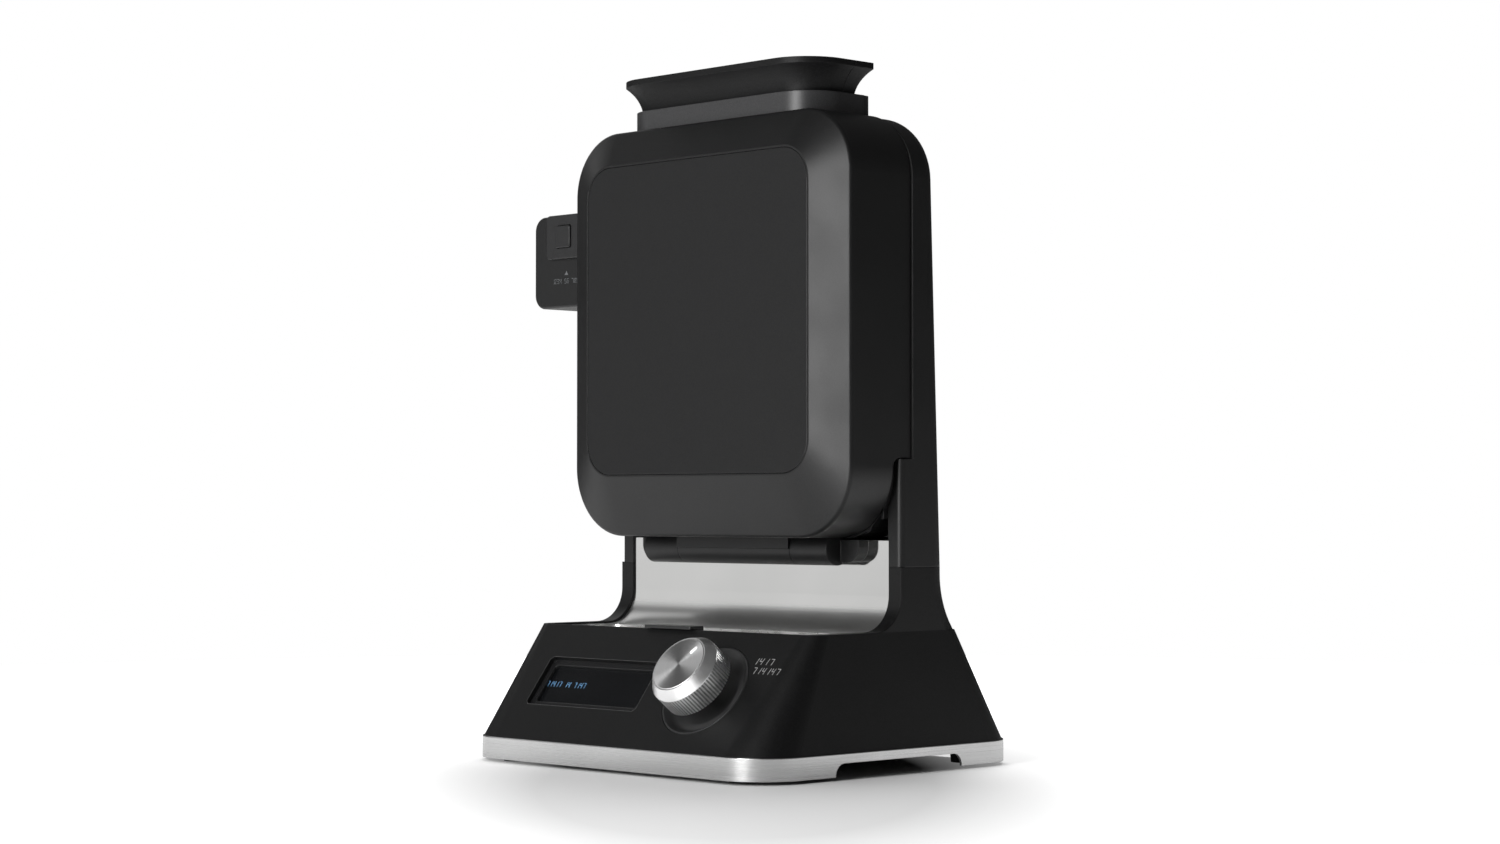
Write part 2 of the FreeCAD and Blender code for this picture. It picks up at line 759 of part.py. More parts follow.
def build_display():
    """Stepped bezel, lens and display module behind the panel's window."""
    left, right = D.display_left, D.display_right
    low, high = D.display_low, D.display_high
    step, corner = D.bezel_step, D.display_corner
    bezel = new_body("display_bezel")
    on_panel(bezel)
    lens_in = step / 2
    pad(bezel, "XY", [rect(left - step, right + step / 2, low - step, high + step, corner)],
        -BEZEL_BACK, -D.wall)
    pocket(bezel, "XY", [rect(left + step, right - step, low + step, high - step, corner)],
           -BEZEL_BACK, -D.wall)
    lens_room = rect(left + lens_in, right - lens_in, low + lens_in, high - lens_in, corner)
    pocket(bezel, "XY", [lens_room], -BEZEL_BACK, -BEZEL_BACK + 1.6)
    lens = new_body("display_lens")
    on_panel(lens)
    slack = lens_in + D.gap / 2
    pad(lens, "XY", [rect(left + slack, right - slack, low + slack, high - slack, corner)],
        -BEZEL_BACK, -BEZEL_BACK + 1.5)
    module = new_body("display_module")
    on_panel(module)
    pad(module, "XY", [rect(left + step, right - step, low + step, high - step)],
        -BOARD_FACE, -BEZEL_BACK - D.gap)


def build_control_board():
    """Circuit board behind the panel, and the encoder that the dial's shaft turns."""
    board = new_body("control_board")
    on_panel(board)
    pad(board, "XY", [rect(D.display_left - 6.0, D.dial_across + 38.0,
                           D.display_low - 11.0, D.display_high + 8.0, 2.0)],
        -BOARD_FACE - BOARD_SHEET, -BOARD_FACE)
    encoder = new_body("dial_encoder")
    on_panel(encoder)
    block = 7.0
    pad(encoder, "XY", [rect(D.dial_across - block, D.dial_across + block,
                             D.dial_up - block, D.dial_up + block, 1.0)],
        -BOARD_FACE, -BOARD_FACE + 5.5)
    pad(encoder, "XY", [(D.dial_across, D.dial_up, D.shaft_radius + 1.5)],
        -BOARD_FACE + 5.5, -DISH_FLOOR - 2.0)
    pocket(encoder, "XY", [(D.dial_across, D.dial_up, D.shaft_radius + D.running)],
           -BOARD_FACE + 1.0, -DISH_FLOOR - 2.0)


def stand_on_dial(body):
    """Moves a panel body's origin to the dial's axis."""
    on_panel(body)
    run = SLOPE_RUN / SLOPE_LENGTH
    rise = SLOPE_RISE / SLOPE_LENGTH
    y = D.dial_up * run - SHELL_HALF_DEPTH
    z = D.dial_up * rise + BAND_TOP
    body.Placement.Base = Vector(D.dial_across.value, y.value, z.value)
    bind(body, "Placement.Base.x", D.dial_across)
    bind(body, "Placement.Base.y", y)
    bind(body, "Placement.Base.z", z)


def build_dial():
    """Concave dish in the panel, and the fluted metal knob that turns on its shaft."""
    dish = new_body("dial_dish")
    stand_on_dial(dish)
    hole = D.shaft_radius + 2.0
    rim = D.dish_radius
    revolve(dish, "XZ", [
        (hole, -DISH_FLOOR - 1.5), (rim + D.wall, -DISH_FLOOR - 1.5), (rim + D.wall, -D.wall),
        (rim, -D.wall), (rim, 0.0), (rim - 1.0, 0.0, 0.6),
        (rim - 5.0, -DISH_FLOOR + 1.2, 6.0), (rim - 10.0, -DISH_FLOOR, 6.0), (hole, -DISH_FLOOR),
    ])
    knob = new_body("dial_knob")
    stand_on_dial(knob)
    hub = D.shaft_radius + 4.0
    skin = 2.0
    roof = D.knob_face - 3.4
    seat = D.knob_face - 1.6
    inner = D.knob_radius - skin
    revolve(knob, "XZ", [
        (D.shaft_radius + D.running, D.knob_foot + 0.5), (hub, D.knob_foot + 0.5),
        (hub, roof - 1.0), (inner - 3.0, roof - 1.0, 2.0),
        (inner, D.knob_foot + 9.0, 3.0), (inner, D.knob_foot), (D.knob_radius, D.knob_foot),
        (D.knob_radius, D.knob_shoulder, 1.0),
        (D.knob_top_radius + 2.0, D.knob_face - 1.6, 1.5),
        (D.knob_top_radius + 0.8, D.knob_face), (D.knob_top_radius, D.knob_face),
        (D.knob_top_radius, seat), (D.shaft_radius + D.running, seat),
    ])
    flute = D.flute_depth
    groove = [(D.knob_radius - flute, 0.0), (D.knob_radius + flute, -flute * 1.6),
              (D.knob_radius + flute, flute * 1.6)]
    cut = pocket(knob, "XY", [groove], D.knob_foot - 1.0, D.knob_shoulder - 0.4)
    ring = knob.newObject("PartDesign::PolarPattern", "Flutes")
    ring.Originals = [cut]
    ring.Axis = (origin_feature(knob, "Z_Axis"), [""])
    ring.Angle = 360.0
    ring.Occurrences = int(D.knob_flutes.value)
    bind(ring, "Occurrences", D.knob_flutes)
    knob.Tip = ring
    cap = new_body("dial_cap")
    stand_on_dial(cap)
    cap_radius = D.knob_top_radius - 0.1
    pad(cap, "XY", [(0.0, 0.0, cap_radius)], seat, D.knob_face + 0.3)
    pointer_turn = math.radians(33.0)
    pointer = new_sketch(cap, "XY", D.knob_face + 0.3)
    towards = Vector(math.sin(pointer_turn), math.cos(pointer_turn), 0)
    beside = Vector(towards.y, -towards.x, 0)
    near_end, far_end, half = cap_radius * 0.52, cap_radius * 0.82, 0.9
    marks = [towards * reach.value + beside * shift
             for reach, shift in ((near_end, -half), (near_end, half),
                                  (far_end, half), (far_end, -half))]
    draw_outline(pointer, [(mark.x, mark.y, 0.5) for mark in marks])
    slot = cap.newObject("PartDesign::Pocket", "Pointer")
    slot.Profile = pointer
    slot.Length = 0.6
    round_edges(cap, 0.25, lambda edge: (
        near(edge_box(edge).ZMin, D.knob_face + 0.3) and near(edge_box(edge).XMax, cap_radius)))
    shaft = new_body("dial_shaft")
    stand_on_dial(shaft)
    pad(shaft, "XY", [(0.0, 0.0, D.shaft_radius)], -BOARD_FACE + 1.5, seat - 0.1)


def build_power_parts():
    """Power board on its posts, and the gland that the supply cord enters by."""
    board = new_body("power_board")
    low = D.pan_floor + D.pan_sheet + 5.0
    pad(board, "XY", [rect(-76.0, 26.0, -11.0, 56.0, 2.0)], low, low + BOARD_SHEET)
    for left, right, front, back, tall in ((-66.0, -40.0, 4.0, 34.0, 22.0),
                                           (-30.0, -14.0, 2.0, 22.0, 16.0),
                                           (-6.0, 14.0, 0.0, 14.0, 12.0)):
        pad(board, "XY", [rect(left, right, front, back, 1.0)],
            low + BOARD_SHEET, low + BOARD_SHEET + tall)
    gland = new_body("cord_gland")
    centre = (-D.base_width / 4, D.deck_height / 3)
    heel = SHELL_HALF_DEPTH - (centre[1] - BAND_TOP) * (SHELL_HALF_DEPTH - D.deck_back) / SLOPE_RISE
    flange = 9.5
    inside = heel - D.wall * SLOPE_LENGTH / SLOPE_RISE - flange * 0.75 - D.gap
    pad(gland, "XZ", [centre + (7.0,)], inside, heel + 8.0)
    pad(gland, "XZ", [centre + (flange,)], inside - 2.5, inside)
    pocket(gland, "XZ", [centre + (3.8,)], inside - 2.5, heel + 8.0)


def build_splash_and_tray():
    """Polished splash panel with its cove, and the lift-out tray with its finger tab."""
    panel = new_body("splash_panel")
    front = D.tower_front + D.splash_recess
    pad(panel, "YZ", [[
        (-D.tray_back + 0.5, SHEET_UNDERSIDE),
        (SHEET_BACK, SHEET_UNDERSIDE, D.deck_cove + D.sheet),
        (SHEET_BACK, D.splash_top), (front, D.splash_top),
        (front, SHEET_TOP_FACE, D.deck_cove), (-D.tray_back + 0.5, SHEET_TOP_FACE),
    ]], -D.splash_half_width + 0.2, D.splash_half_width - 0.2)
    pocket(panel, "XZ", [place + (D.screw_radius + 0.1,) for place in hinge_screw_places()],
           front - 1.0, SHEET_BACK + 1.0)
    tray = new_body("drip_tray")
    edge = D.splash_half_width - 0.4
    pad(tray, "XY", [sides(edge, -D.tray_front + 0.3, -D.tray_back, 3.0)],
        SHEET_UNDERSIDE, SHEET_TOP_FACE)
    pad(tray, "XY", [tray_well(0.0)], SHEET_UNDERSIDE - D.well_depth, SHEET_UNDERSIDE)
    pocket(tray, "XY", [tray_well(-D.sheet)], SHEET_TOP_FACE - D.well_depth, SHEET_TOP_FACE)
    tab = new_body("tray_tab")
    pad(tab, "XY", [sides(D.tab_half_width, -D.deck_front - 2.0, -D.tray_front + 7.0, 1.0)],
        SHEET_TOP_FACE, SHEET_TOP_FACE + 3.2)
    pocket(tab, "XY", [sides(D.tab_half_width + 1.0, -D.deck_front - 4.0, -D.tray_front + 0.6)],
           SHEET_TOP_FACE - 1.0, D.deck_height + D.gap)


# ---------------------------------------------------------------- tower and hinge

def hinge_screw_places():
    """Screws that hold the hinge bracket through the splash panel, from behind."""
    height = (D.bracket_bottom + D.splash_top) / 2
    return [(side * (D.knuckle_end + shift), height) for side in (1, -1) for shift in (3.6, 10.8)]


def build_tower():
    """Upright rear casing, on two legs that frame the splash panel."""
    body = new_body("tower_frame")
    half = TOWER_HALF
    front_outline = [(-half, D.seam_height), (half, D.seam_height),
                     (half, D.tower_top, D.tower_corner), (-half, D.tower_top, D.tower_corner)]
    pad(body, "XZ", [front_outline], D.tower_front, D.tower_back)
    rise = D.tower_top - D.seam_height
    overrun = (D.tower_back - D.tower_back_at_top) * 10.0 / rise
    wedge = [(D.tower_back, D.seam_height), (D.tower_back + 10.0, D.seam_height),
             (D.tower_back + 10.0, D.tower_top + 10.0),
             (D.tower_back_at_top - overrun, D.tower_top + 10.0)]
    pocket(body, "YZ", [wedge], -half - 1.0, half + 1.0)
    round_edges(body, D.tower_back_round, lambda edge: (
        edge_box(edge).YMin > D.tower_back_at_top.value - 1.0
        and edge_box(edge).ZMax > D.seam_height.value + 1.0))
    step = [(D.tower_front - 1.0, D.leg_step_height - D.door_seam),
            (D.seam_depth, D.leg_step_height - D.door_seam),
            (D.seam_depth, D.tower_top + 1.0), (D.tower_front - 1.0, D.tower_top + 1.0)]
    pocket(body, "YZ", [step], -half - 1.0, half + 1.0)
    round_edges(body, D.tower_leg_round, lambda edge: (
        near(edge_box(edge).YMin, D.tower_front) and near(edge_box(edge).YMax, D.tower_front)
        and edge_box(edge).XLength < 0.01))
    inner = half - D.wall
    roof = D.tower_top - D.wall
    hollow = [(-inner, D.seam_height - 1.0), (inner, D.seam_height - 1.0),
              (inner, roof, D.tower_corner - D.wall), (-inner, roof, D.tower_corner - D.wall)]
    pocket(body, "XZ", [hollow], SILL_BACK, D.hollow_back)
    deep = sides(half - D.tower_back_round - 2.0, D.seam_height - 1.0, rise / 2 + D.seam_height)
    pocket(body, "XZ", [deep], D.hollow_back, D.tower_back - 8.0)
    recess = sides(D.splash_half_width, D.seam_height - 1.0, HOUSING_BOTTOM - D.gap)
    pocket(body, "XZ", [recess], D.tower_front - 1.0, SHEET_BACK)
    mouth = sides(HOUSING_LEG_HALF + D.gap, HOUSING_BOTTOM - D.gap, D.leg_step_height)
    pocket(body, "XZ", [mouth], D.tower_front - 1.0, SILL_BACK)
    pocket(body, "XZ", [place + (D.screw_radius + 0.1,) for place in hinge_screw_places()],
           SHEET_BACK - 1.0, SILL_BACK + 1.0)
    for across, along in tower_screw_places():
        pad(body, "XY", [(across, along, D.boss_radius)], D.seam_height, D.seam_height + 16.0)
        pocket(body, "XY", [(across, along, D.screw_radius + 0.1)],
               D.seam_height, D.seam_height + 15.0)
    for height, reach in ((200.0, D.tower_back - 7.0), (300.0, D.hollow_back + 1.0)):
        bosses = [place + (D.boss_radius,) for place in mirrored(as_size(70.0), height)]
        pad(body, "XZ", bosses, REAR_COVER + COVER_SHEET, reach)
    vent = pocket(body, "XZ", [sides(as_size(36.0), 150.0, 154.0, 1.5)],
                  D.hollow_back - 1.0, D.tower_back + 1.0)
    repeat_along(body, vent, "Z_Axis", as_size(54.0), 7)
    return body


def build_collar_rear():
    """Short fixed end of the funnel's collar, on the tower's top."""
    body = new_body("collar_rear")
    half = D.collar_half_width - 0.8
    pad(body, "XY", [rect(-half, half, D.seam_depth, D.seam_depth + 7.0)],
        D.tower_top, D.collar_top)
    round_edges(body, 5.0, lambda edge: (
        near(edge_box(edge).YMin, D.seam_depth + 7.0) and edge_box(edge).ZLength > 1.0
        and edge_box(edge).XLength < 0.01))


def build_rear_housing():
    """Box that carries the rear cooking plate, and the sheet that closes its back."""
    body = new_body("rear_plate_housing")
    outline = housing_outline(0.0)
    pad(body, "XZ", [outline], FACE_REAR, REAR_COVER)
    skirt = housing_outline(2.0)
    pocket(body, "XZ", [skirt], FACE_REAR + D.wall, REAR_COVER)
    opening = sides(PLATE_HALF + D.gap, D.plate_bottom - D.gap, D.plate_top + D.gap,
                    D.plate_corner + D.gap)
    pocket(body, "XZ", [opening], FACE_REAR - 1.0, FACE_REAR + D.wall + 1.0)
    for side in (1, -1):
        low, high = sorted((side * HOUSING_LEG_HALF, side * (HOUSING_HALF + 1.0)),
                           key=lambda amount: amount.value)
        cheek = rect(HOUSING_LEG_DEPTH, REAR_COVER + 1.0, HOUSING_BOTTOM - 1.0,
                     D.leg_step_height + D.gap)
        pocket(body, "YZ", [cheek], low, high)
        wall = 2.0
        low, high = sorted((side * (HOUSING_LEG_HALF - wall), side * HOUSING_LEG_HALF),
                           key=lambda amount: amount.value)
        inner_cheek = rect(FACE_REAR, REAR_COVER, HOUSING_BOTTOM + 12.0,
                           D.leg_step_height + D.gap)
        pad(body, "YZ", [inner_cheek], low, high)
    shelf = sides(D.collar_half_width - D.collar_wall - 0.6, HOUSING_TOP - 2.0, D.door_top)
    pad(body, "XZ", [shelf], FACE_REAR, DOOR_BACK)
    neck = sides(NECK_OUTER + D.gap, D.plate_top + D.gap, D.door_top + 1.0)
    pocket(body, "XZ", [neck], FACE_REAR - 1.0, D.mating_plane + NECK_OUTER_DEPTH + D.gap)
    end = D.knuckle_end + D.gap * 2
    pocket(body, "YZ", [(D.hinge_y, D.hinge_z, KNUCKLE_RELIEF)], -end, end)
    for across, height in HOUSING_BOSSES:
        for place in mirrored(across, height):
            pad(body, "XZ", [place + (D.boss_radius,)], FACE_REAR + 1.0, REAR_COVER)
            pocket(body, "XZ", [place + (D.screw_radius + 0.1,)],
                   REAR_COVER - 14.0, REAR_COVER)
    cover = new_body("rear_housing_cover")
    half = HOUSING_LEG_HALF - D.gap
    pad(cover, "XZ", [sides(half, HOUSING_BOTTOM + 1.0, HOUSING_TOP - 1.0, 20.0)],
        REAR_COVER, REAR_COVER + COVER_SHEET)
    holes = [place + (D.screw_radius + 0.2,) for across, height in HOUSING_BOSSES
             for place in mirrored(across, height)]
    holes += [place + (4.0,) for place in mirrored(D.terminal_across, D.heater_bottom)]
    pocket(cover, "XZ", holes, REAR_COVER - 1.0, REAR_COVER + COVER_SHEET + 1.0)
    screws = []
    for across, height in HOUSING_BOSSES:
        for x, z in mirrored(across, height):
            screws.append(screw("housing_screw", "-Y", x, REAR_COVER + COVER_SHEET, z,
                                as_size(14.0)))
    group("housing_screws", screws)


def housing_outline(inset):
    """The rear housing's outline seen from the front, drawn in by a wall."""
    half = HOUSING_HALF - inset
    low, high = HOUSING_BOTTOM + inset, HOUSING_TOP - inset
    bottom = D.door_corner_bottom - D.wall - 0.8 - inset
    top = D.door_corner_top - D.wall - 0.8 - inset
    return [(-half, low, bottom), (half, low, bottom), (half, high, top), (-half, high, top)]


def build_hinge():
    """Fixed bracket with its two outer knuckles, the door's middle knuckle, pin and bushes."""
    bracket = new_body("hinge_bracket")
    half, low = D.bracket_half_width, D.bracket_bottom
    high = D.splash_top + 0.2
    back = D.tower_front + D.splash_recess
    pad(bracket, "XZ", [[(-half, low, D.bracket_corner), (half, low, D.bracket_corner),
                         (half, high), (-half, high)]], D.bracket_front, back)
    axis = (D.hinge_y, D.hinge_z)
    for left, right in ((D.knuckle_split + 0.2, D.knuckle_end),
                        (-D.knuckle_end, -D.knuckle_split - 0.2)):
        pad(bracket, "YZ", [axis + (D.knuckle_radius,)], left, right)
    pocket(bracket, "YZ", [axis + (KNUCKLE_RELIEF,)],
           -D.knuckle_split - 0.2, D.knuckle_split + 0.2)
    pocket(bracket, "YZ", [axis + (D.hinge_pin_radius + 0.02,)],
           -D.knuckle_end + 1.5, D.knuckle_end - 1.5)
    pocket(bracket, "XZ", [place + (D.screw_radius + 0.1,) for place in hinge_screw_places()],
           back - 6.5, back)
    knuckle = new_body("door_knuckle")
    end = D.knuckle_split - 0.2
    pad(knuckle, "YZ", [axis + (D.knuckle_radius,)], -end, end)
    lug = rect(D.hinge_y - D.knuckle_radius - 1.0, D.hinge_y - 3.0, D.hinge_z, D.door_bottom)
    pad(knuckle, "YZ", [lug], -end, end)
    pocket(knuckle, "YZ", [axis + (D.hinge_pin_radius + 0.5,)], -end, end)
    bush_seat = D.hinge_pin_radius + D.bush_wall + 0.03
    for left, right in ((-end, -end + D.bush_length), (end - D.bush_length, end)):
        pocket(knuckle, "YZ", [axis + (bush_seat,)], left, right)
    pin = new_body("hinge_pin")
    pad(pin, "YZ", [axis + (D.hinge_pin_radius,)], -D.knuckle_end + 1.6, D.knuckle_end - 1.6)
    bushes = new_body("hinge_bushes")
    for left, right in ((-end, -end + D.bush_length - 0.1), (end - D.bush_length + 0.1, end)):
        pad(bushes, "YZ", [axis + (D.hinge_pin_radius + D.bush_wall,),
                           axis + (D.hinge_pin_radius + D.running,)], left, right)
    group("hinge_screws", [screw("hinge_screw", "-Y", x, SILL_BACK, z,
                                 SILL_BACK - back + 6.0) for x, z in hinge_screw_places()])


# ---------------------------------------------------------------- cooking plates

def build_cook_plate(label, face, faces_back):
    """Aluminium cooking plate with a grid of studs; faces_back is true for the front plate."""
    body = new_body(label)
    inner = PLATE_HALF - D.plate_rim
    low, high = D.plate_bottom + D.plate_rim, D.plate_top - D.plate_rim

    def span(depth_from, depth_to):
        """Two depths below the cooking face, as places along Y in order."""
        if faces_back:
            return face - depth_to, face - depth_from
        return face + depth_from, face + depth_to

    pad(body, "XZ", [sides(PLATE_HALF, D.plate_bottom, D.plate_top, D.plate_corner)],
        *span(as_size(0.0), D.plate_thick))
    pocket(body, "XZ", [sides(inner, low, high, D.plate_corner - D.plate_rim)],
           *span(as_size(-1.0), D.stud_recess))
    depth = span(as_size(-1.0), D.cavity_depth)
    column = pocket(body, "XZ", [rect(-inner, -inner + D.channel, low, high)], *depth)
    repeat_along(body, column, "X_Axis", inner * 2 - D.channel, D.studs_across + 1)
    row = pocket(body, "XZ", [rect(-inner, inner, low, low + D.channel)], *depth)
    repeat_along(body, row, "Z_Axis", high - low - D.channel, D.studs_across + 1)
    pocket(body, "XZ", [sides(D.neck_half_width, high - 2.0, D.plate_top + 1.0)],
           *span(as_size(-1.0), D.neck_depth))
    return body


def build_heater(label, place, terminal_low, terminal_high):
    """Tubular heating element bent into a ring, with two terminals."""
    body = new_body(label)
    spine = new_sketch(body, "XZ", place)
    draw(spine, [sides(D.heater_half_width, D.heater_bottom, D.heater_top, D.heater_corner)])
    section = new_sketch(body, "YZ", 0.0)
    draw(section, [(place, D.heater_bottom, D.heater_radius)])
    pipe = body.newObject("PartDesign::AdditivePipe", "Tube")
    pipe.Profile = section
    pipe.Spine = spine
    body.Tip = pipe
    for x, z in mirrored(D.terminal_across, D.heater_bottom):
        pad(body, "XZ", [(x, z, 2.4)], terminal_low, terminal_high)
    return body


def build_reflector(label, place):
    """Thin bright sheet behind a heating element."""
    body = new_body(label)
    pad(body, "XZ", [sides(PLATE_HALF - 4.0, D.plate_bottom + 4.0, D.plate_top - 4.0,
                           D.plate_corner - 4.0)], place, place + D.sheet)
    holes = [spot + (4.0,) for spot in mirrored(D.terminal_across, D.heater_bottom)]
    pocket(body, "XZ", holes, place - 1.0, place + D.sheet + 1.0)
    return body


def build_heating():
    """Both cooking plates with their elements, reflectors and temperature controls."""
    build_cook_plate("rear_cook_plate", FACE_REAR, False)
    build_cook_plate("front_cook_plate", FACE_FRONT, True)
    build_heater("rear_heater", REAR_HEATER_Y, REAR_HEATER_Y, REAR_COVER + COVER_SHEET + 1.0)
    build_heater("front_heater", FRONT_HEATER_Y, FRONT_REFLECTOR - 4.0, FRONT_HEATER_Y)
    build_reflector("rear_reflector", REAR_REFLECTOR)
    build_reflector("front_reflector", FRONT_REFLECTOR)
    middle = (D.heater_bottom + D.heater_top) / 2
    thermostat = new_body("thermostat")
    pad(thermostat, "XZ", [(0.0, middle, 8.0)], REAR_PLATE_BACK, REAR_PLATE_BACK + 5.0)
    fuse = new_body("thermal_fuse")
    pad(fuse, "XZ", [sides(as_size(9.0), middle - 33.0, middle - 27.0, 1.0)],
        REAR_PLATE_BACK, REAR_PLATE_BACK + 1.2)
    pad(fuse, "YZ", [(REAR_PLATE_BACK + 2.8, middle - 30.0, 2.0)], -12.0, 12.0)


def build_harness():
    """Heater leads: up from the power board inside the tower, then to the terminals."""
    body = new_body("wire_harness")
    wire = 1.4
    start = D.pan_floor + D.pan_sheet + 5.0 + BOARD_SHEET
    back = REAR_COVER + COVER_SHEET + 5.0
    bend = 3.6
    for x, z in mirrored(D.terminal_across, D.heater_bottom):
        spine = new_sketch(body, "YZ", x)
        corner = Vector(back.value, z.value, 0)
        centre = Vector(back.value - bend, z.value - bend, 0)
        rise = Part.LineSegment(Vector(back.value, start.value, 0), corner - Vector(0, bend, 0))
        spine.addGeometry(rise, False)
        circle = Part.Circle(centre, Vector(0, 0, 1), bend)
        spine.addGeometry(Part.ArcOfCircle(circle, 0.0, math.pi / 2), False)
        spine.addConstraint(Sketcher.Constraint("Tangent", 0, 2, 1, 1))
        number = spine.addConstraint(Sketcher.Constraint("Radius", 1, bend))
        bind(spine, f"Constraints[{number}]", as_size(bend))
        spine.addConstraint(Sketcher.Constraint("Vertical", 0))
        fix_point(spine, 0, 1, back, start)
        number = spine.addConstraint(Sketcher.Constraint("DistanceY", -1, 1, 1, 3, centre.y))
        bind(spine, f"Constraints[{number}]", z - bend)
        spine.addConstraint(Sketcher.Constraint("Vertical", 1, 3, 1, 2))
        section = new_sketch(body, "XY", start)
        draw(section, [(x, back, wire)])
        lead = body.newObject("PartDesign::AdditivePipe", "Lead")
        lead.Profile = section
        lead.Spine = spine
        body.Tip = lead


# ---------------------------------------------------------------- door

def door_outline(inset):
    """The door's outline seen from the front, drawn in by a wall."""
    half = D.door_half_width - inset
    low, high = D.door_bottom + inset, D.door_top - inset
    bottom, top = D.door_corner_bottom - inset, D.door_corner_top - inset
    return [(-half, low, bottom), (half, low, bottom), (half, high, top), (-half, high, top)]


def panel_outline(grow):
    """The inset front panel's outline, grown all round."""
    half = PANEL_HALF + grow
    return sides(half, D.panel_bottom - grow, D.panel_top + grow, D.panel_corner + grow)


def door_screw_places():
    """Screws that hold the inner frame in the door."""
    across = PLATE_HALF + D.boss_radius + 2.0
    return (mirrored(across, D.plate_top - 12.0) + mirrored(across, D.plate_bottom + 32.0))


def build_door_shell():
    """Front casing: broad bevels round an inset panel, side walls that reach to the seam."""
    body = new_body("door_shell")
    pad(body, "XZ", [door_outline(0.0)], -D.bevel_edge, DOOR_BACK)
    loft(body, "AdditiveLoft", "XZ", [(-D.bevel_edge, door_outline(0.0)),
                                      (-D.door_face, panel_outline(D.panel_land))])
    round_edges(body, 2.5, lambda edge: (
        near(edge_box(edge).YMin, -D.bevel_edge) and near(edge_box(edge).YMax, -D.bevel_edge)))
    inner_edge = D.bevel_edge - D.wall
    inner_face = D.door_face - D.panel_sheet - 2.0
    pocket(body, "XZ", [door_outline(D.wall)], -inner_edge, DOOR_BACK)
    loft(body, "SubtractiveLoft", "XZ", [(-inner_edge, door_outline(D.wall)),
                                         (-inner_face, panel_outline(-D.wall))])
    pocket(body, "XZ", [panel_outline(0.1)], -D.door_face - 1.0, -D.door_face + D.panel_sheet)
    for across, height in door_screw_places():
        pad(body, "XZ", [(across, height, D.boss_radius)], -D.bevel_edge - 2.0, FACE_FRONT - D.wall)
        pocket(body, "XZ", [(across, height, D.screw_radius + 0.1)],
               -12.0, FACE_FRONT - D.wall)
    below = D.door_bottom - 5.0
    notch = [(D.door_notch_depth, below), (DOOR_BACK + 5.0, below),
             (DOOR_BACK + 5.0, D.leg_step_height),
             (D.door_notch_depth, D.leg_step_height, D.notch_round)]
    pocket(body, "YZ", [notch], -D.door_half_width - 1.0, D.door_half_width + 1.0)
    relief = (D.hinge_y, D.hinge_z, KNUCKLE_RELIEF)
    end = D.knuckle_end + D.gap * 2
    pocket(body, "YZ", [relief], -end, end)
    shelf_room = rect(D.hinge_y, D.door_notch_depth + 1.0, below, D.door_bottom + D.wall + 1.0)
    pocket(body, "YZ", [shelf_room], -end - 1.0, end + 1.0)
    mouth = sides(D.collar_half_width - D.collar_wall, D.door_top - D.wall - 1.0,
                  D.door_top + 1.0)
    pocket(body, "XZ", [mouth], FACE_FRONT, DOOR_BACK + 1.0)
    throat = sides(NECK_OUTER + D.gap, D.door_top - D.wall - 1.0, D.door_top + 1.0)
    pocket(body, "XZ", [throat], D.mating_plane - NECK_OUTER_DEPTH - D.gap, FACE_FRONT + 1.0)
    return body


def build_door_fittings():
    """Inset front panel, inner frame round the cooking plate, and the frame's screws."""
    panel = new_body("door_panel")
    pad(panel, "XZ", [panel_outline(0.0)], -D.door_face, -D.door_face + D.panel_sheet)
    round_edges(panel, 0.6, lambda edge: near(edge_box(edge).YMax, -D.door_face))
    frame = new_body("door_inner_frame")
    slack = D.wall + D.gap
    hole = sides(PLATE_HALF + D.gap, D.plate_bottom - D.gap, D.plate_top + D.gap,
                 D.plate_corner + D.gap)
    outline = door_outline(slack)
    floor = D.hinge_z + KNUCKLE_RELIEF + D.gap
    outline[0] = (outline[0][0], floor, D.door_corner_bottom - slack)
    outline[1] = (outline[1][0], floor, D.door_corner_bottom - slack)
    pad(frame, "XZ", [outline, hole], FACE_FRONT - D.wall, FACE_FRONT)
    neck = sides(NECK_OUTER + D.gap, D.plate_top - 1.0, D.door_top)
    pocket(frame, "XZ", [neck], FACE_FRONT - D.wall - 1.0, FACE_FRONT + 1.0)
    sink = FACE_FRONT - D.screw_head_tall
    for across, height in door_screw_places():
        pocket(frame, "XZ", [(across, height, D.screw_head + 0.1)], sink, FACE_FRONT)
        pocket(frame, "XZ", [(across, height, D.screw_radius + 0.1)],
               FACE_FRONT - D.wall, FACE_FRONT)
    group("door_screws", [screw("door_screw", "-Y", x, sink, z, sink + 11.5)
                          for x, z in door_screw_places()])


# ---------------------------------------------------------------- funnel

def funnel_section(half, front, back, corner, rear_corner):
    """One level of the funnel, seen from above: broad corners in front, tight ones behind."""
    return [(-half, -front, corner), (half, -front, corner),
            (half, back, rear_corner), (-half, back, rear_corner)]


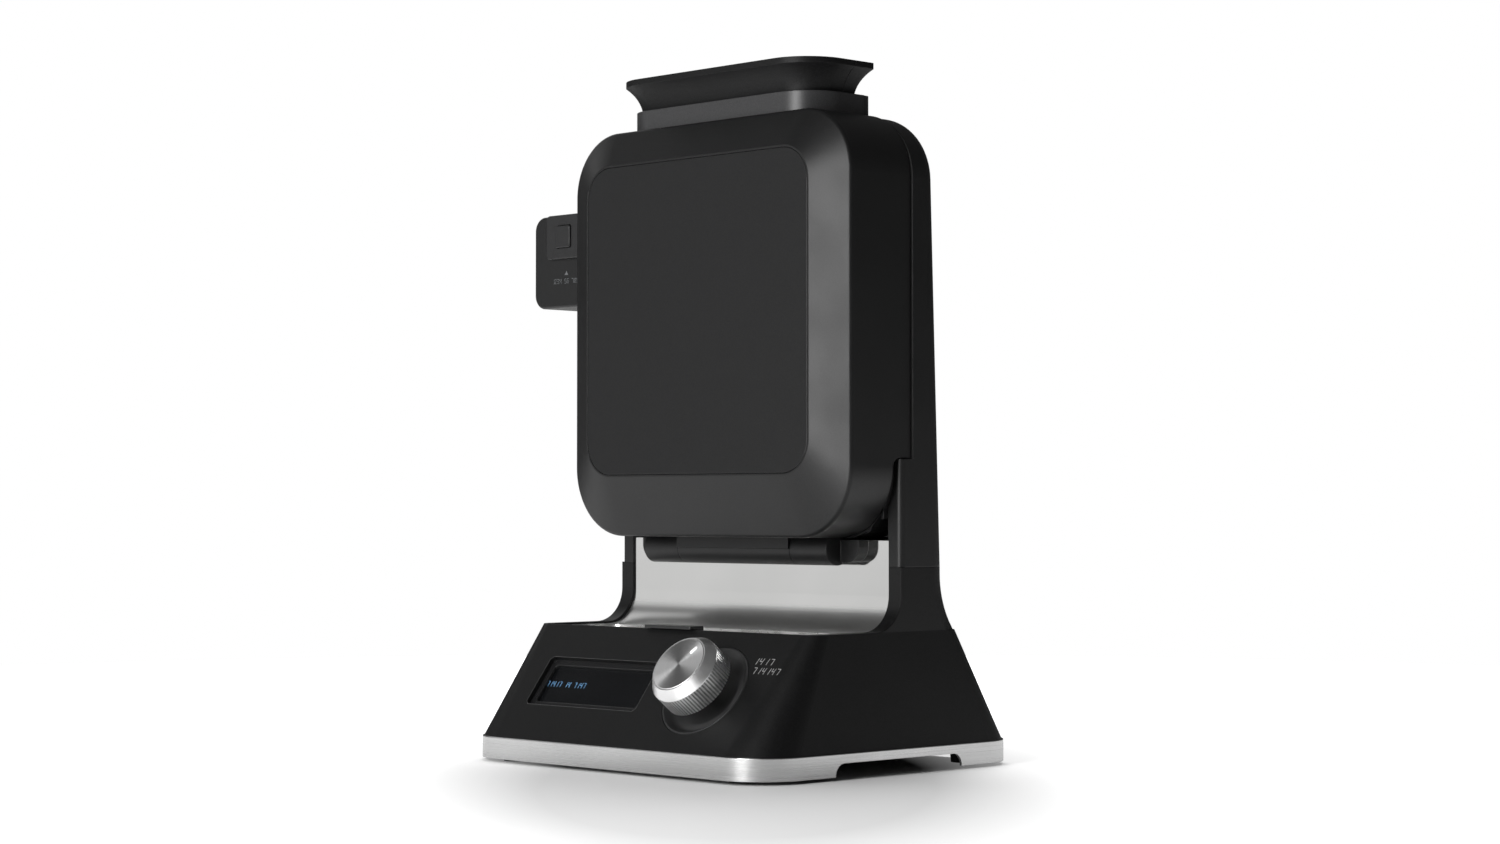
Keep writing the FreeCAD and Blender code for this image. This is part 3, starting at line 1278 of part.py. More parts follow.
def build_funnel_half(label, front_half):
    """One half of the flared batter funnel with its neck; the halves meet at the plates' plane."""
    body = new_body(label)
    half = D.collar_half_width - D.collar_wall - 0.6
    rear_corner = D.funnel_rear_corner
    foot = funnel_section(half, D.funnel_front, D.funnel_back, D.collar_corner - 5.0, rear_corner)
    pad(body, "XY", [foot], D.door_top, D.collar_top)
    rim_low = D.rim_top - D.rim_band
    rise = rim_low - D.collar_top
    rim = funnel_section(D.rim_half_width, D.rim_front, D.rim_back, D.rim_corner, rear_corner)

    def level(share, flare, inset):
        """A level part of the way up whose flare lags behind its height."""
        amounts = ((half, D.rim_half_width), (D.funnel_front, D.rim_front),
                   (D.funnel_back, D.rim_back), (D.collar_corner - 5.0, D.rim_corner),
                   (rear_corner, rear_corner))
        low_high = [low + (high - low) * flare - inset for low, high in amounts]
        return D.collar_top + rise * share, funnel_section(*low_high)

    skin = D.funnel_wall
    loft(body, "AdditiveLoft", "XY", [level(0.0, 0.0, 0.0), level(0.35, 0.16, 0.0),
                                      level(0.7, 0.5, 0.0), (rim_low, rim)])
    pad(body, "XY", [rim], rim_low, D.rim_top)
    pocket(body, "XY", [funnel_section(D.rim_half_width - skin, D.rim_front - skin,
                                       D.rim_back - skin, D.rim_corner - skin,
                                       rear_corner - skin)],
           rim_low, D.rim_top)
    loft(body, "SubtractiveLoft", "XY", [level(0.0, 0.0, skin), level(0.35, 0.16, skin),
                                         level(0.7, 0.5, skin), level(1.0, 1.0, skin)])
    throat = rect(-D.neck_half_width, D.neck_half_width, D.mating_plane - D.neck_depth,
                  D.mating_plane + D.neck_depth, 2.0)
    hopper_low = D.door_top + 1.0
    loft(body, "SubtractiveLoft", "XY", [(hopper_low, throat), level(0.0, 0.0, skin)])
    neck = rect(-NECK_OUTER, NECK_OUTER, D.mating_plane - NECK_OUTER_DEPTH,
                D.mating_plane + NECK_OUTER_DEPTH, 2.0 + D.funnel_wall)
    pad(body, "XY", [neck], D.plate_top + D.gap, D.door_top)
    pocket(body, "XY", [throat], D.plate_top, hopper_low + 0.2)
    far = D.rim_front + D.rim_back
    if front_half:
        away = rect(FACE_FRONT, FACE_FRONT + far, D.plate_top - 1.0, D.rim_top + 1.0)
    else:
        away = rect(FACE_REAR - far, FACE_REAR, D.plate_top - 1.0, D.rim_top + 1.0)
    pocket(body, "YZ", [away], -D.rim_half_width - 1.0, D.rim_half_width + 1.0)
    return body


def build_collar():
    """Satin collar on the door's top, open at the back."""
    body = new_body("funnel_collar")
    half, front = D.collar_half_width, D.collar_front
    pad(body, "XY", [[(-half, -front, D.collar_corner), (half, -front, D.collar_corner),
                      (half, DOOR_BACK), (-half, DOOR_BACK)]], D.door_top, D.collar_top)
    inner = half - D.collar_wall
    inner_front = D.funnel_front + 0.5
    corner = D.collar_corner - 4.4
    pocket(body, "XY", [[(-inner, -inner_front, corner), (inner, -inner_front, corner),
                         (inner, DOOR_BACK + 1.0), (-inner, DOOR_BACK + 1.0)]],
           D.door_top, D.collar_top)
    return body


# ---------------------------------------------------------------- handle and latch

def build_handle():
    """Side handle in two halves: the front one opens with the door, the rear one is fixed."""
    thin = D.thin_wall
    low, high, end = D.handle_bottom, D.handle_top, D.handle_end
    corner = D.handle_corner
    front = new_body("handle_front")
    outline = [(-end, low, corner), (-D.door_half_width, low),
               (-D.door_half_width, high), (-end, high, corner)]
    pad(front, "XZ", [outline], -D.handle_front, FACE_FRONT)
    round_edges(front, 2.0, lambda edge: (
        near(edge_box(edge).YMax, -D.handle_front) and edge_box(edge).XMin < -D.door_half_width.value - 1.0))
    room = rect(-D.handle_front + thin, FACE_FRONT - thin, low + thin, high - thin)
    pocket(front, "YZ", [room], -end + thin, -D.door_half_width)
    claw = hook_window()
    pocket(front, "XZ", [claw], FACE_FRONT - thin - 1.0, FACE_FRONT + 1.0)
    seat = rect(-D.button_across - 9.0, -D.button_across + 9.0, low + 1.0, high - 1.0)
    pad(front, "XZ", [seat], SPRING_SEAT, SPRING_SEAT + 1.5)
    pocket(front, "XZ", [(-D.button_across, D.button_height, D.stem_radius + 0.4)],
           SPRING_SEAT - 1.0, SPRING_SEAT + 2.0)
    pocket(front, "XZ", [button_outline(0.3)], -D.handle_front - 1.0, -D.handle_front + thin + 1.0)
    rear = new_body("handle_rear")
    outline = [(-end, low, corner), (-TOWER_HALF, low), (-TOWER_HALF, high), (-end, high, corner)]
    pad(rear, "XZ", [outline], FACE_REAR, D.handle_back)
    round_edges(rear, 2.0, lambda edge: (
        near(edge_box(edge).YMin, D.handle_back) and edge_box(edge).XMin < -TOWER_HALF.value - 1.0))
    room = rect(FACE_REAR + thin, D.handle_back - thin, low + thin, high - thin)
    pocket(rear, "YZ", [room], -end + thin, -TOWER_HALF)
    pocket(rear, "XZ", [claw], FACE_REAR - 1.0, FACE_REAR + thin + 1.0)
    build_latch()


def button_outline(grow):
    """The push button's outline, grown all round."""
    across, up = -D.button_across, D.button_height
    wide, tall = D.button_width / 2 + grow, D.button_tall / 2 + grow
    return rect(across - wide, across + wide, up - tall, up + tall, 1.2)


def hook_window():
    """The opening in both handle halves that the hook's claw passes through."""
    middle, half = D.button_height, D.hook_thick / 2 + 1.5
    pivot = -D.hook_pivot_across
    return rect(pivot - 7.0, pivot + 6.0, middle - half, middle + half, 1.0)


def build_latch():
    """Raised block, push button, hook on its pin, return spring and the keeper it works with."""
    block = new_body("latch_block")
    left, right = -D.latch_block_end, -D.door_half_width - 0.2
    low, high = D.latch_block_bottom, D.handle_top
    front = D.handle_front + D.latch_block_proud
    pad(block, "XZ", [[(left, low, 3.0), (right, low), (right, high), (left, high, 3.0)]],
        -front, -D.handle_front)
    pocket(block, "XZ", [button_outline(0.3)], -front - 1.0, -D.handle_front + 1.0)
    round_edges(block, 0.8, lambda edge: (
        near(edge_box(edge).YMax, -front) and edge_box(edge).XMin < left.value + 3.1
        or near(edge_box(edge).YMax, -front) and near(edge_box(edge).ZMin, low)
        or near(edge_box(edge).YMax, -front) and near(edge_box(edge).ZMin, high)))
    button = new_body("latch_button")
    face = front + D.button_proud
    cap_back = -face + D.button_depth
    pad(button, "XZ", [button_outline(0.0)], -face, cap_back)
    stem_end = hook_arm_face() - D.gap
    pad(button, "XZ", [(-D.button_across, D.button_height, D.stem_radius)], cap_back, stem_end)
    round_edges(button, 0.6, lambda edge: near(edge_box(edge).YMax, -face))
    build_hook()
    pin = new_body("hook_pin")
    pad(pin, "XY", [(-D.hook_pivot_across, 0.0, D.hook_pin_radius)],
        D.handle_bottom + D.thin_wall, D.handle_top - D.thin_wall)
    keeper = new_body("latch_keeper")
    edge = hook_barb_tip() + D.gap
    middle, half = D.button_height, D.hook_thick / 2 + 4.0
    pad(keeper, "XZ", [rect(edge, edge + 17.0, middle - half, middle + half)],
        FACE_REAR + D.thin_wall, FACE_REAR + D.thin_wall + 1.2)
    spring = new_body("button_spring")
    coil = D.stem_radius + 1.2
    pad(spring, "XZ", [(-D.button_across, D.button_height, coil),
                       (-D.button_across, D.button_height, D.stem_radius + 0.3)],
        cap_back + 0.1, SPRING_SEAT - D.button_stroke - D.gap)


def hook_arm_face():
    """Depth of the face of the hook's arm that the button's stem pushes."""
    return as_size(-7.7)


def hook_barb_tip():
    """How far across the hook's barb reaches."""
    return -D.hook_pivot_across + 4.5


def build_hook():
    """Lever on a pin: the button pushes its arm, and its claw swings clear of the keeper."""
    hook = new_body("latch_hook")
    pivot = -D.hook_pivot_across
    low = D.button_height - D.hook_thick / 2
    high = D.button_height + D.hook_thick / 2
    arm = hook_arm_face()
    claw_back = FACE_REAR + D.thin_wall + 1.2 + 4.0
    outline = [
        (pivot - 3.5, arm, 2.0), (-D.button_across + 4.0, arm), (-D.button_across + 4.0, arm + 3.0),
        (pivot + 3.5, arm + 3.0), (pivot + 2.0, 3.0), (pivot + 2.0, claw_back - 3.4),
        (hook_barb_tip(), claw_back - 3.4), (hook_barb_tip(), claw_back - 2.0),
        (pivot + 1.0, claw_back), (pivot - 2.0, claw_back), (pivot - 2.0, 3.0),
        (pivot - 3.5, 1.0),
    ]
    pad(hook, "XY", [outline], low, high)
    pad(hook, "XY", [(pivot, 0.0, 3.6)], low, high)
    pocket(hook, "XY", [(pivot, 0.0, D.hook_pin_radius + D.running)], low, high)


# ---------------------------------------------------------------- whole machine

def build_all():
    """Builds every sub-part."""
    build_base_shell()
    build_trim_band()
    build_base_pan()
    build_feet_and_screws()
    build_display()
    build_control_board()
    build_dial()
    build_power_parts()
    build_splash_and_tray()
    build_tower()
    build_collar_rear()
    build_rear_housing()
    build_hinge()
    build_heating()
    build_harness()
    build_door_shell()
    build_door_fittings()
    build_funnel_half("funnel_front", True)
    build_funnel_half("funnel_rear", False)
    build_collar()
    build_handle()
    DOC.recompute()


def check_document():
    """Stops on a failed feature or an unsound shape."""
    for item in DOC.Objects:
        if "Invalid" in item.State or "Error" in item.State:
            raise RuntimeError(f"{item.Label} ({item.TypeId}) failed: {item.State}")
    for item in PARTS:
        if item.Shape.isNull() or not item.Shape.isValid() or not item.Shape.Solids:
            raise RuntimeError(f"{item.Label} has no sound shape")


def export_parts():
    """Writes one STEP file for each sub-part."""
    os.makedirs("parts", exist_ok=True)
    for item in PARTS:
        item.Shape.exportStep(f"parts/{item.Label}.step")


build_all()
check_document()
export_parts()
print(f"{len(PARTS)} sub-parts written")
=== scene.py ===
"""Looks for the upright waffle maker: materials, small details, studio and camera.

Metres, in the CAD frame: +Z up, the front of the machine towards -Y, +X to its right.
"""

import json
import math

import bmesh
import bpy
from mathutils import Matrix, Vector


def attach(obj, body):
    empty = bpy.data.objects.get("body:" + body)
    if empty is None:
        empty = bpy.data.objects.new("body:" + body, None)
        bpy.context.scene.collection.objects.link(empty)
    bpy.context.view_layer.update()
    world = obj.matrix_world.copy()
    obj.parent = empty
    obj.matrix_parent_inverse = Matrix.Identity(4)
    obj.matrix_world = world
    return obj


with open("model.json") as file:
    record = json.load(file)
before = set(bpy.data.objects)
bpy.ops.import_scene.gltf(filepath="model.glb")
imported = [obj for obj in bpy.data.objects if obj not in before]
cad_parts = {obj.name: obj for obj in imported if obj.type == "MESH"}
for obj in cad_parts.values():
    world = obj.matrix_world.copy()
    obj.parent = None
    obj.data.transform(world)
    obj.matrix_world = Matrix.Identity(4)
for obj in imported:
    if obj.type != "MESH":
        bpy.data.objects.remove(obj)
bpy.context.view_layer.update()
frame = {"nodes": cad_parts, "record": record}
NODES = frame["nodes"]

MM = 0.001

# the sloping control panel: middle of its lower edge, directions across, up the slope and out
PANEL_FOOT = Vector((0.0, -110.1, 15.1)) * MM
PANEL_OUT = Vector((0.0, -0.7916, 0.61104))
PANEL_UP = Vector((0.0, 0.61104, 0.7916))
ACROSS = Vector((1.0, 0.0, 0.0))
DIAL_SPOT = PANEL_FOOT + (ACROSS * 57.2 + PANEL_UP * 42.6) * MM

# the knob: number of flutes round it, and their top and the cap's top above the panel
FLUTES = 72
FLUTE_TOP = 20.3 * MM
CAP_TOP = 26.31 * MM

# places on the panel, in millimetres across, up and out: marks, sunk display, its window
ON_PANEL = 0.01
LENS_FACE = -4.47
WINDOW_LEFT = -89.2
WINDOW_RIGHT = 8.7
WINDOW_LOW = 25.0
WINDOW_HIGH = 59.9

# heights on the splash sheet where its satin foot ends and its polish starts
SATIN_TOP = 92.0 * MM
POLISH_START = 99.0 * MM

# the front face of the handle in millimetres, and how thick a printed mark is
HANDLE_FACE = -20.01
PRINT = 0.03 * MM


# ------------------------------------------------------------------ materials

class Shader:
    """A Principled material with short helpers for procedural texture."""

    def __init__(self, name, color, roughness, metallic=0.0, **fixed):
        self.material = bpy.data.materials.new(name)
        self.material.use_nodes = True
        self.tree = self.material.node_tree
        self.bsdf = self.tree.nodes["Principled BSDF"]
        self.color = (*color, 1.0)
        self.roughness = roughness
        self.set("Base Color", self.color)
        self.set("Roughness", roughness)
        self.set("Metallic", metallic)
        for socket, value in fixed.items():
            self.set(socket.replace("_", " "), value)
        self.where = self.node("ShaderNodeTexCoord").outputs["Object"]
        self.normal = None

    def set(self, socket, value):
        """Sets one of the shader's own sockets."""
        self.bsdf.inputs[socket].default_value = value

    def node(self, kind, **values):
        """Adds a node and sets its inputs or properties."""
        made = self.tree.nodes.new(kind)
        for key, value in values.items():
            if key in made.inputs:
                made.inputs[key].default_value = value
            else:
                setattr(made, key, value)
        return made

    def link(self, start, end):
        """Joins two sockets."""
        self.tree.links.new(start, end)

    def stretched(self, scale):
        """Object coordinates scaled along each axis."""
        mapping = self.node("ShaderNodeMapping", Scale=scale)
        self.link(self.where, mapping.inputs["Vector"])
        return mapping.outputs["Vector"]

    def noise(self, scale, detail=3.0, stretch=None):
        """A noise value in 0..1."""
        made = self.node("ShaderNodeTexNoise", Scale=scale, Detail=detail)
        self.link(self.stretched(stretch) if stretch else self.where, made.inputs["Vector"])
        return made.outputs["Fac"]

    def spread(self, value, low, high, start=0.3, stop=0.7):
        """Maps start..stop of a value to low..high."""
        made = self.node("ShaderNodeMapRange")
        for name, amount in (("From Min", start), ("From Max", stop),
                             ("To Min", low), ("To Max", high)):
            made.inputs[name].default_value = amount
        self.link(value, made.inputs["Value"])
        return made.outputs["Result"]

    def vary_roughness(self, value, amount):
        """Lets the roughness wander around its middle."""
        low, high = self.roughness - amount, self.roughness + amount
        self.link(self.spread(value, max(low, 0.01), high), self.bsdf.inputs["Roughness"])

    def vary_color(self, value, darker, lighter):
        """Lets the colour wander between a darker and a lighter tone."""
        made = self.node("ShaderNodeMix", data_type="RGBA")
        ends = [socket for socket in made.inputs if socket.type == "RGBA"]
        ends[0].default_value = (*[channel * darker for channel in self.color[:3]], 1.0)
        ends[1].default_value = (*[min(channel * lighter, 1.0) for channel in self.color[:3]], 1.0)
        self.link(self.spread(value, 0.0, 1.0), made.inputs["Factor"])
        mixed = [socket for socket in made.outputs if socket.type == "RGBA"][0]
        self.link(mixed, self.bsdf.inputs["Base Color"])

    def away_from(self, centre):
        """The vector from a point to each place on the surface."""
        away = self.node("ShaderNodeVectorMath", operation="SUBTRACT")
        self.link(self.where, away.inputs[0])
        away.inputs[1].default_value = centre
        return away.outputs["Vector"]

    def spun(self, centre, axis):
        """Runs the brushing in circles round an axis, and returns a value for its rings."""
        away = self.away_from(centre)
        around = self.node("ShaderNodeVectorMath", operation="CROSS_PRODUCT")
        around.inputs[0].default_value = axis
        self.link(away, around.inputs[1])
        world = self.node("ShaderNodeVectorTransform", vector_type="VECTOR",
                          convert_from="OBJECT", convert_to="WORLD")
        self.link(around.outputs["Vector"], world.inputs["Vector"])
        self.link(world.outputs["Vector"], self.bsdf.inputs["Tangent"])
        length = self.node("ShaderNodeVectorMath", operation="LENGTH")
        self.link(away, length.inputs[0])
        rings = self.node("ShaderNodeTexNoise", noise_dimensions="1D", Scale=3500.0, Detail=2.0)
        self.link(length.outputs["Value"], rings.inputs["W"])
        return rings.outputs["Fac"]

    def math(self, operation, first, second=None):
        """One step of arithmetic on sockets or plain numbers."""
        made = self.node("ShaderNodeMath", operation=operation)
        for place, value in enumerate((first, second)):
            if value is None:
                continue
            if isinstance(value, (int, float)):
                made.inputs[place].default_value = value
            else:
                self.link(value, made.inputs[place])
        return made.outputs[0]

    def along(self, vector, direction):
        """How far a vector reaches along a direction."""
        made = self.node("ShaderNodeVectorMath", operation="DOT_PRODUCT")
        self.link(vector, made.inputs[0])
        made.inputs[1].default_value = direction
        return made.outputs["Value"]

    def flutes(self, centre, across, up, out, count, top):
        """A value for painted shade: 0.3 at the bottom of a flute, rising to 0.7 at its ridge and
        above the flutes.
        """
        vector = self.away_from(centre)
        angle = self.math("ARCTAN2", self.along(vector, up), self.along(vector, across))
        wave = self.math("COSINE", self.math("MULTIPLY", angle, float(count)))
        fluted = self.math("LESS_THAN", self.along(vector, out), top)
        depth = self.math("MULTIPLY", self.math("ADD", wave, 1.0), fluted)
        return self.math("SUBTRACT", 0.7, self.math("MULTIPLY", depth, 0.2))

    def soft_edges(self, radius):
        """Makes sharp edges catch the light as if they were slightly rounded."""
        rounded = self.node("ShaderNodeBevel", samples=6, Radius=radius)
        self.normal = rounded.outputs["Normal"]
        self.link(self.normal, self.bsdf.inputs["Normal"])

    def bump(self, value, strength, distance):
        """Adds relief from a value on top of earlier relief."""
        made = self.node("ShaderNodeBump", Strength=strength, Distance=distance)
        self.link(value, made.inputs["Height"])
        if self.normal is not None:
            self.link(self.normal, made.inputs["Normal"])
        self.normal = made.outputs["Normal"]
        self.link(self.normal, self.bsdf.inputs["Normal"])


def plastic(name, color, roughness, grain=0.25, speck=1.0, **fixed):
    """Moulded plastic with a fine grain and slow changes of sheen."""
    shader = Shader(name, color, roughness, IOR=1.46, **fixed)
    shader.soft_edges(0.7 * MM)
    fine = shader.noise(scale=1500.0, detail=2.0)
    slow = shader.noise(scale=26.0)
    shader.vary_roughness(slow, amount=0.035)
    shader.vary_color(fine, darker=1.0 - 0.35 * speck, lighter=1.0 + 0.45 * speck)
    shader.bump(fine, strength=grain, distance=0.06 * MM)
    return shader.material


def steel(name, color, roughness, brush=None, anisotropy=0.0, relief=0.05):
    """Metal; brush stretches its marks along one axis."""
    shader = Shader(name, color, roughness, metallic=1.0, Anisotropic=anisotropy)
    shader.soft_edges(0.4 * MM)
    marks = shader.noise(scale=1.0 if brush else 90.0, detail=4.0, stretch=brush)
    slow = shader.noise(scale=14.0, detail=2.0)
    shader.vary_color(slow, darker=0.94, lighter=1.04)
    shader.vary_roughness(marks, amount=roughness * 0.35)
    shader.bump(marks, strength=relief, distance=0.04 * MM)
    return shader.material


def spun_metal(name, color, roughness, anisotropy):
    """Metal turned on a lathe, with its fine rings round the dial's axis."""
    shader = Shader(name, color, roughness, metallic=1.0, Anisotropic=anisotropy)
    shader.soft_edges(0.2 * MM)
    rings = shader.spun(DIAL_SPOT, PANEL_OUT)
    shader.vary_color(rings, darker=0.96, lighter=1.02)
    shader.vary_roughness(rings, amount=roughness * 0.08)
    shader.bump(rings, strength=0.006, distance=0.01 * MM)
    return shader.material


def splash_steel(name, color, roughness, foot_roughness):
    """Polished sheet that turns satin in the cove at its foot."""
    shader = Shader(name, color, roughness, metallic=1.0)
    shader.soft_edges(0.4 * MM)
    height = shader.along(shader.where, (0.0, 0.0, 1.0))
    sheen = shader.spread(height, foot_roughness, roughness, start=SATIN_TOP, stop=POLISH_START)
    shader.link(sheen, shader.bsdf.inputs["Roughness"])
    shader.vary_color(shader.noise(scale=14.0, detail=2.0), darker=0.95, lighter=1.03)
    return shader.material


def fluted_metal(name, color, roughness):
    """Bright metal with painted shade in the bottoms of its flutes."""
    shader = Shader(name, color, roughness, metallic=1.0)
    shader.soft_edges(0.06 * MM)
    # painted shade: the colour is darker at the bottom of each flute and lighter at its ridge
    flute_shade = shader.flutes(DIAL_SPOT, ACROSS, PANEL_UP, PANEL_OUT, FLUTES, FLUTE_TOP)
    shader.vary_color(flute_shade, darker=0.50, lighter=1.15)
    shader.vary_roughness(shader.noise(scale=90.0), amount=0.05)
    return shader.material


def glowing(name, color, strength):
    """A glowing surface: a lit display segment, or the dial's white pointer, whose glow is a painted
    highlight.
    """
    shader = Shader(name, color, roughness=0.4)
    shader.set("Emission Color", (*color, 1.0))
    shader.vary_color(shader.noise(scale=300.0), darker=0.9, lighter=1.1)
    shader.set("Emission Strength", strength)
    return shader.material


def make_materials():
    """The materials: by slot of the record, and some for single pieces and small marks."""
    return {
        "black_shell": plastic("BlackShell", (0.0060, 0.0060, 0.0062), 0.42,
                               Specular_IOR_Level=0.40),
        "base_black": plastic("BaseBlack", (0.0048, 0.0048, 0.0050), 0.42, grain=0.35, speck=1.3,
                              Specular_IOR_Level=0.26),
        "panel_black": plastic("PanelBlack", (0.008, 0.008, 0.0083), 0.38, grain=0.16, speck=0.7,
                               Specular_IOR_Level=0.30),
        "collar_grey": plastic("CollarGrey", (0.030, 0.030, 0.031), 0.36, grain=0.2, speck=0.6),
        "funnel_black": plastic("FunnelBlack", (0.0045, 0.0045, 0.0047), 0.50, grain=0.9, speck=1.8,
                                Specular_IOR_Level=0.24),
        "dish_grey": plastic("DishGrey", (0.016, 0.016, 0.0165), 0.40, grain=0.08, speck=0.3,
                             Specular_IOR_Level=0.6),
        "display_frame": plastic("DisplayFrame", (0.012, 0.012, 0.0125), 0.20, grain=0.05, speck=0.3),
        "lens_dark": plastic("LensDark", (0.0050, 0.0053, 0.0060), 0.13, grain=0.02, speck=0.2),
        "button_dark": plastic("ButtonDark", (0.010, 0.010, 0.0105), 0.36, grain=0.15, speck=0.6),
        "plate_coated": plastic("PlateCoated", (0.020, 0.020, 0.021), 0.38, grain=0.5, speck=1.2),
        "foot_rubber": plastic("FootRubber", (0.012, 0.012, 0.012), 0.75, grain=0.5),
        "board_green": plastic("BoardGreen", (0.012, 0.075, 0.030), 0.42, grain=0.3),
        "control_black": plastic("ControlBlack", (0.018, 0.018, 0.018), 0.5, grain=0.4),
        "wire_white": plastic("WireWhite", (0.55, 0.54, 0.50), 0.5, grain=0.3, speck=0.3),
        "splash_steel": splash_steel("SplashSteel", (0.82, 0.82, 0.81), 0.07, 0.34),
        "tray_steel": steel("TraySteel", (0.86, 0.86, 0.85), 0.30, relief=0.01),
        "band_steel": steel("BandSteel", (0.52, 0.52, 0.52), 0.24, brush=(12.0, 12.0, 2600.0),
                            anisotropy=0.5, relief=0.12),
        "knob_silver": fluted_metal("KnobSilver", (0.92, 0.92, 0.92), 0.36),
        "cap_spun": spun_metal("CapSpun", (0.94, 0.94, 0.94), 0.30, 0.85),
        "heater_steel": steel("HeaterSteel", (0.42, 0.42, 0.43), 0.38),
        "reflector_sheet": steel("ReflectorSheet", (0.75, 0.75, 0.76), 0.20),
        "screw_steel": steel("ScrewSteel", (0.45, 0.45, 0.46), 0.32),
        "pin_steel": steel("PinSteel", (0.62, 0.62, 0.63), 0.24),
        "bush_brass": steel("BushBrass", (0.68, 0.48, 0.20), 0.30),
        # the pointer is white; its glow is a painted highlight
        "pointer_white": glowing("PointerWhite", (0.80, 0.80, 0.80), 0.45),
        "print_white": plastic("PrintWhite", (0.42, 0.42, 0.42), 0.5, grain=0.05, speck=0.2),
        "print_grey": plastic("PrintGrey", (0.12, 0.125, 0.13), 0.5, grain=0.05, speck=0.2),
        # grey line round the display's window: painted highlight on its edges
        "painted_edge_light": plastic("PaintedEdgeLight", (0.085, 0.085, 0.085), 0.3, grain=0.05, speck=0.2),
        "segment_blue": glowing("SegmentBlue", (0.16, 0.36, 0.62), 0.60),
    }


MATERIALS = make_materials()

# pieces whose look differs a little from the others of their slot
OWN_LOOKS = {"funnel_front": "funnel_black", "funnel_rear": "funnel_black",
             "base_shell": "base_black", "drip_tray": "tray_steel", "splash_panel": "splash_steel"}


def dress_nodes():
    """Gives every CAD node its own look, or else the material of its slot."""
    for part in frame["record"]["subparts"]:
        name = part["node"]
        look = OWN_LOOKS.get(name, part["material_slot"])
        mesh = NODES[name].data
        mesh.materials.clear()
        mesh.materials.append(MATERIALS[look])


dress_nodes()

# ------------------------------------------------------------------ small marks

# the strokes of a seven-segment digit: ends as (across, up) in halves of the digit's box
STROKES = {
    "a": ((0, 2), (1, 2)), "b": ((1, 1), (1, 2)), "c": ((1, 0), (1, 1)), "d": ((0, 0), (1, 0)),
    "e": ((0, 0), (0, 1)), "f": ((0, 1), (0, 2)), "g": ((0, 1), (1, 1)),
}
DIGITS = {"0": "abcdef", "1": "bc", "2": "abged", "3": "abgcd", "4": "fgbc",
          "5": "afgcd", "6": "afgedc", "7": "abc", "8": "abcdefg", "9": "abcdfg"}


def add_slab(mesh, corners, out, thick):
    """A thin flat slab: its outline in order, and how far it stands out."""
    low = [mesh.verts.new(corner) for corner in corners]
    high = [mesh.verts.new(corner + out * thick) for corner in corners]
    mesh.faces.new(list(reversed(low)))
    mesh.faces.new(high)
    count = len(corners)
    for here in range(count):
        beyond = (here + 1) % count
        mesh.faces.new((low[here], low[beyond], high[beyond], high[here]))


def add_stroke(mesh, start, end, out, width):
    """A straight printed stroke with square ends, standing on a surface."""
    along = (end - start).normalized()
    beside = out.cross(along).normalized() * width / 2
    over = along * width / 2
    add_slab(mesh, [start - over - beside, end + over - beside, end + over + beside,
                    start - over + beside], out, PRINT)


def finish_piece(name, mesh, body, slot):
    """Turns a mesh into an object that rides on a body."""
    bmesh.ops.recalc_face_normals(mesh, faces=mesh.faces)
    data = bpy.data.meshes.new(name)
    mesh.to_mesh(data)
    mesh.free()
    data.materials.append(MATERIALS[slot])
    piece = bpy.data.objects.new(name, data)
    bpy.context.scene.collection.objects.link(piece)
    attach(piece, body)


def digit_row(name, digits, corner, up, pitch, tall, wide, line, body, slot):
    """A row of plain seven-segment digits that starts at its lower left corner."""
    mesh = bmesh.new()
    out = ACROSS.cross(up).normalized()
    for place, digit in enumerate(digits):
        if digit not in DIGITS:
            continue
        start = corner + ACROSS * pitch * place
        for stroke in DIGITS[digit]:
            ends = [start + ACROSS * wide * x + up * tall * y / 2 for x, y in STROKES[stroke]]
            add_stroke(mesh, ends[0], ends[1], out, line)
    finish_piece(name, mesh, body, slot)


def panel_place(across, up, out):
    """Turns millimetres across, up and out of the control panel into a place in metres."""
    return PANEL_FOOT + (ACROSS * across + PANEL_UP * up + PANEL_OUT * out) * MM


def build_pointer():
    """The bright pointer that is let into the cap of the dial; it is white, and part of its
    brightness is a painted glow.
    """
    angle = math.radians(33.0)
    along = PANEL_UP * math.cos(angle) + ACROSS * math.sin(angle)
    beside = PANEL_OUT.cross(along)
    centre = DIAL_SPOT + PANEL_OUT * CAP_TOP
    inner = 9.8 * MM
    outer = 13.2 * MM
    half = 1.05 * MM
    rise = 0.12 * MM
    steps = 8
    outline = []
    for middle, start in ((outer, -90.0), (inner, 90.0)):
        for step in range(steps + 1):
            turn = math.radians(start + step * 180.0 / steps)
            outline.append(centre + along * (middle + half * math.cos(turn))
                           + beside * half * math.sin(turn))
    mesh = bmesh.new()
    add_slab(mesh, outline, PANEL_OUT, rise)
    finish_piece("dial_pointer", mesh, "dial", "pointer_white")


def build_painted_window_edge():
    """The thin bright edge round the display's window, with its corners cut off: a grey line that is
    a painted highlight.
    """
    left, right, low, high = WINDOW_LEFT, WINDOW_RIGHT, WINDOW_LOW, WINDOW_HIGH
    cut = 2.2
    line = 0.22 * MM
    outline = [(left + cut, low), (right - cut, low), (right, low + cut), (right, high - cut),
               (right - cut, high), (left + cut, high), (left, high - cut), (left, low + cut)]
    places = [panel_place(across, up, ON_PANEL) for across, up in outline]
    mesh = bmesh.new()
    for start, end in zip(places, places[1:] + places[:1]):
        add_stroke(mesh, start, end, PANEL_OUT, line)
    finish_piece("window_painted_edge", mesh, "root", "painted_edge_light")


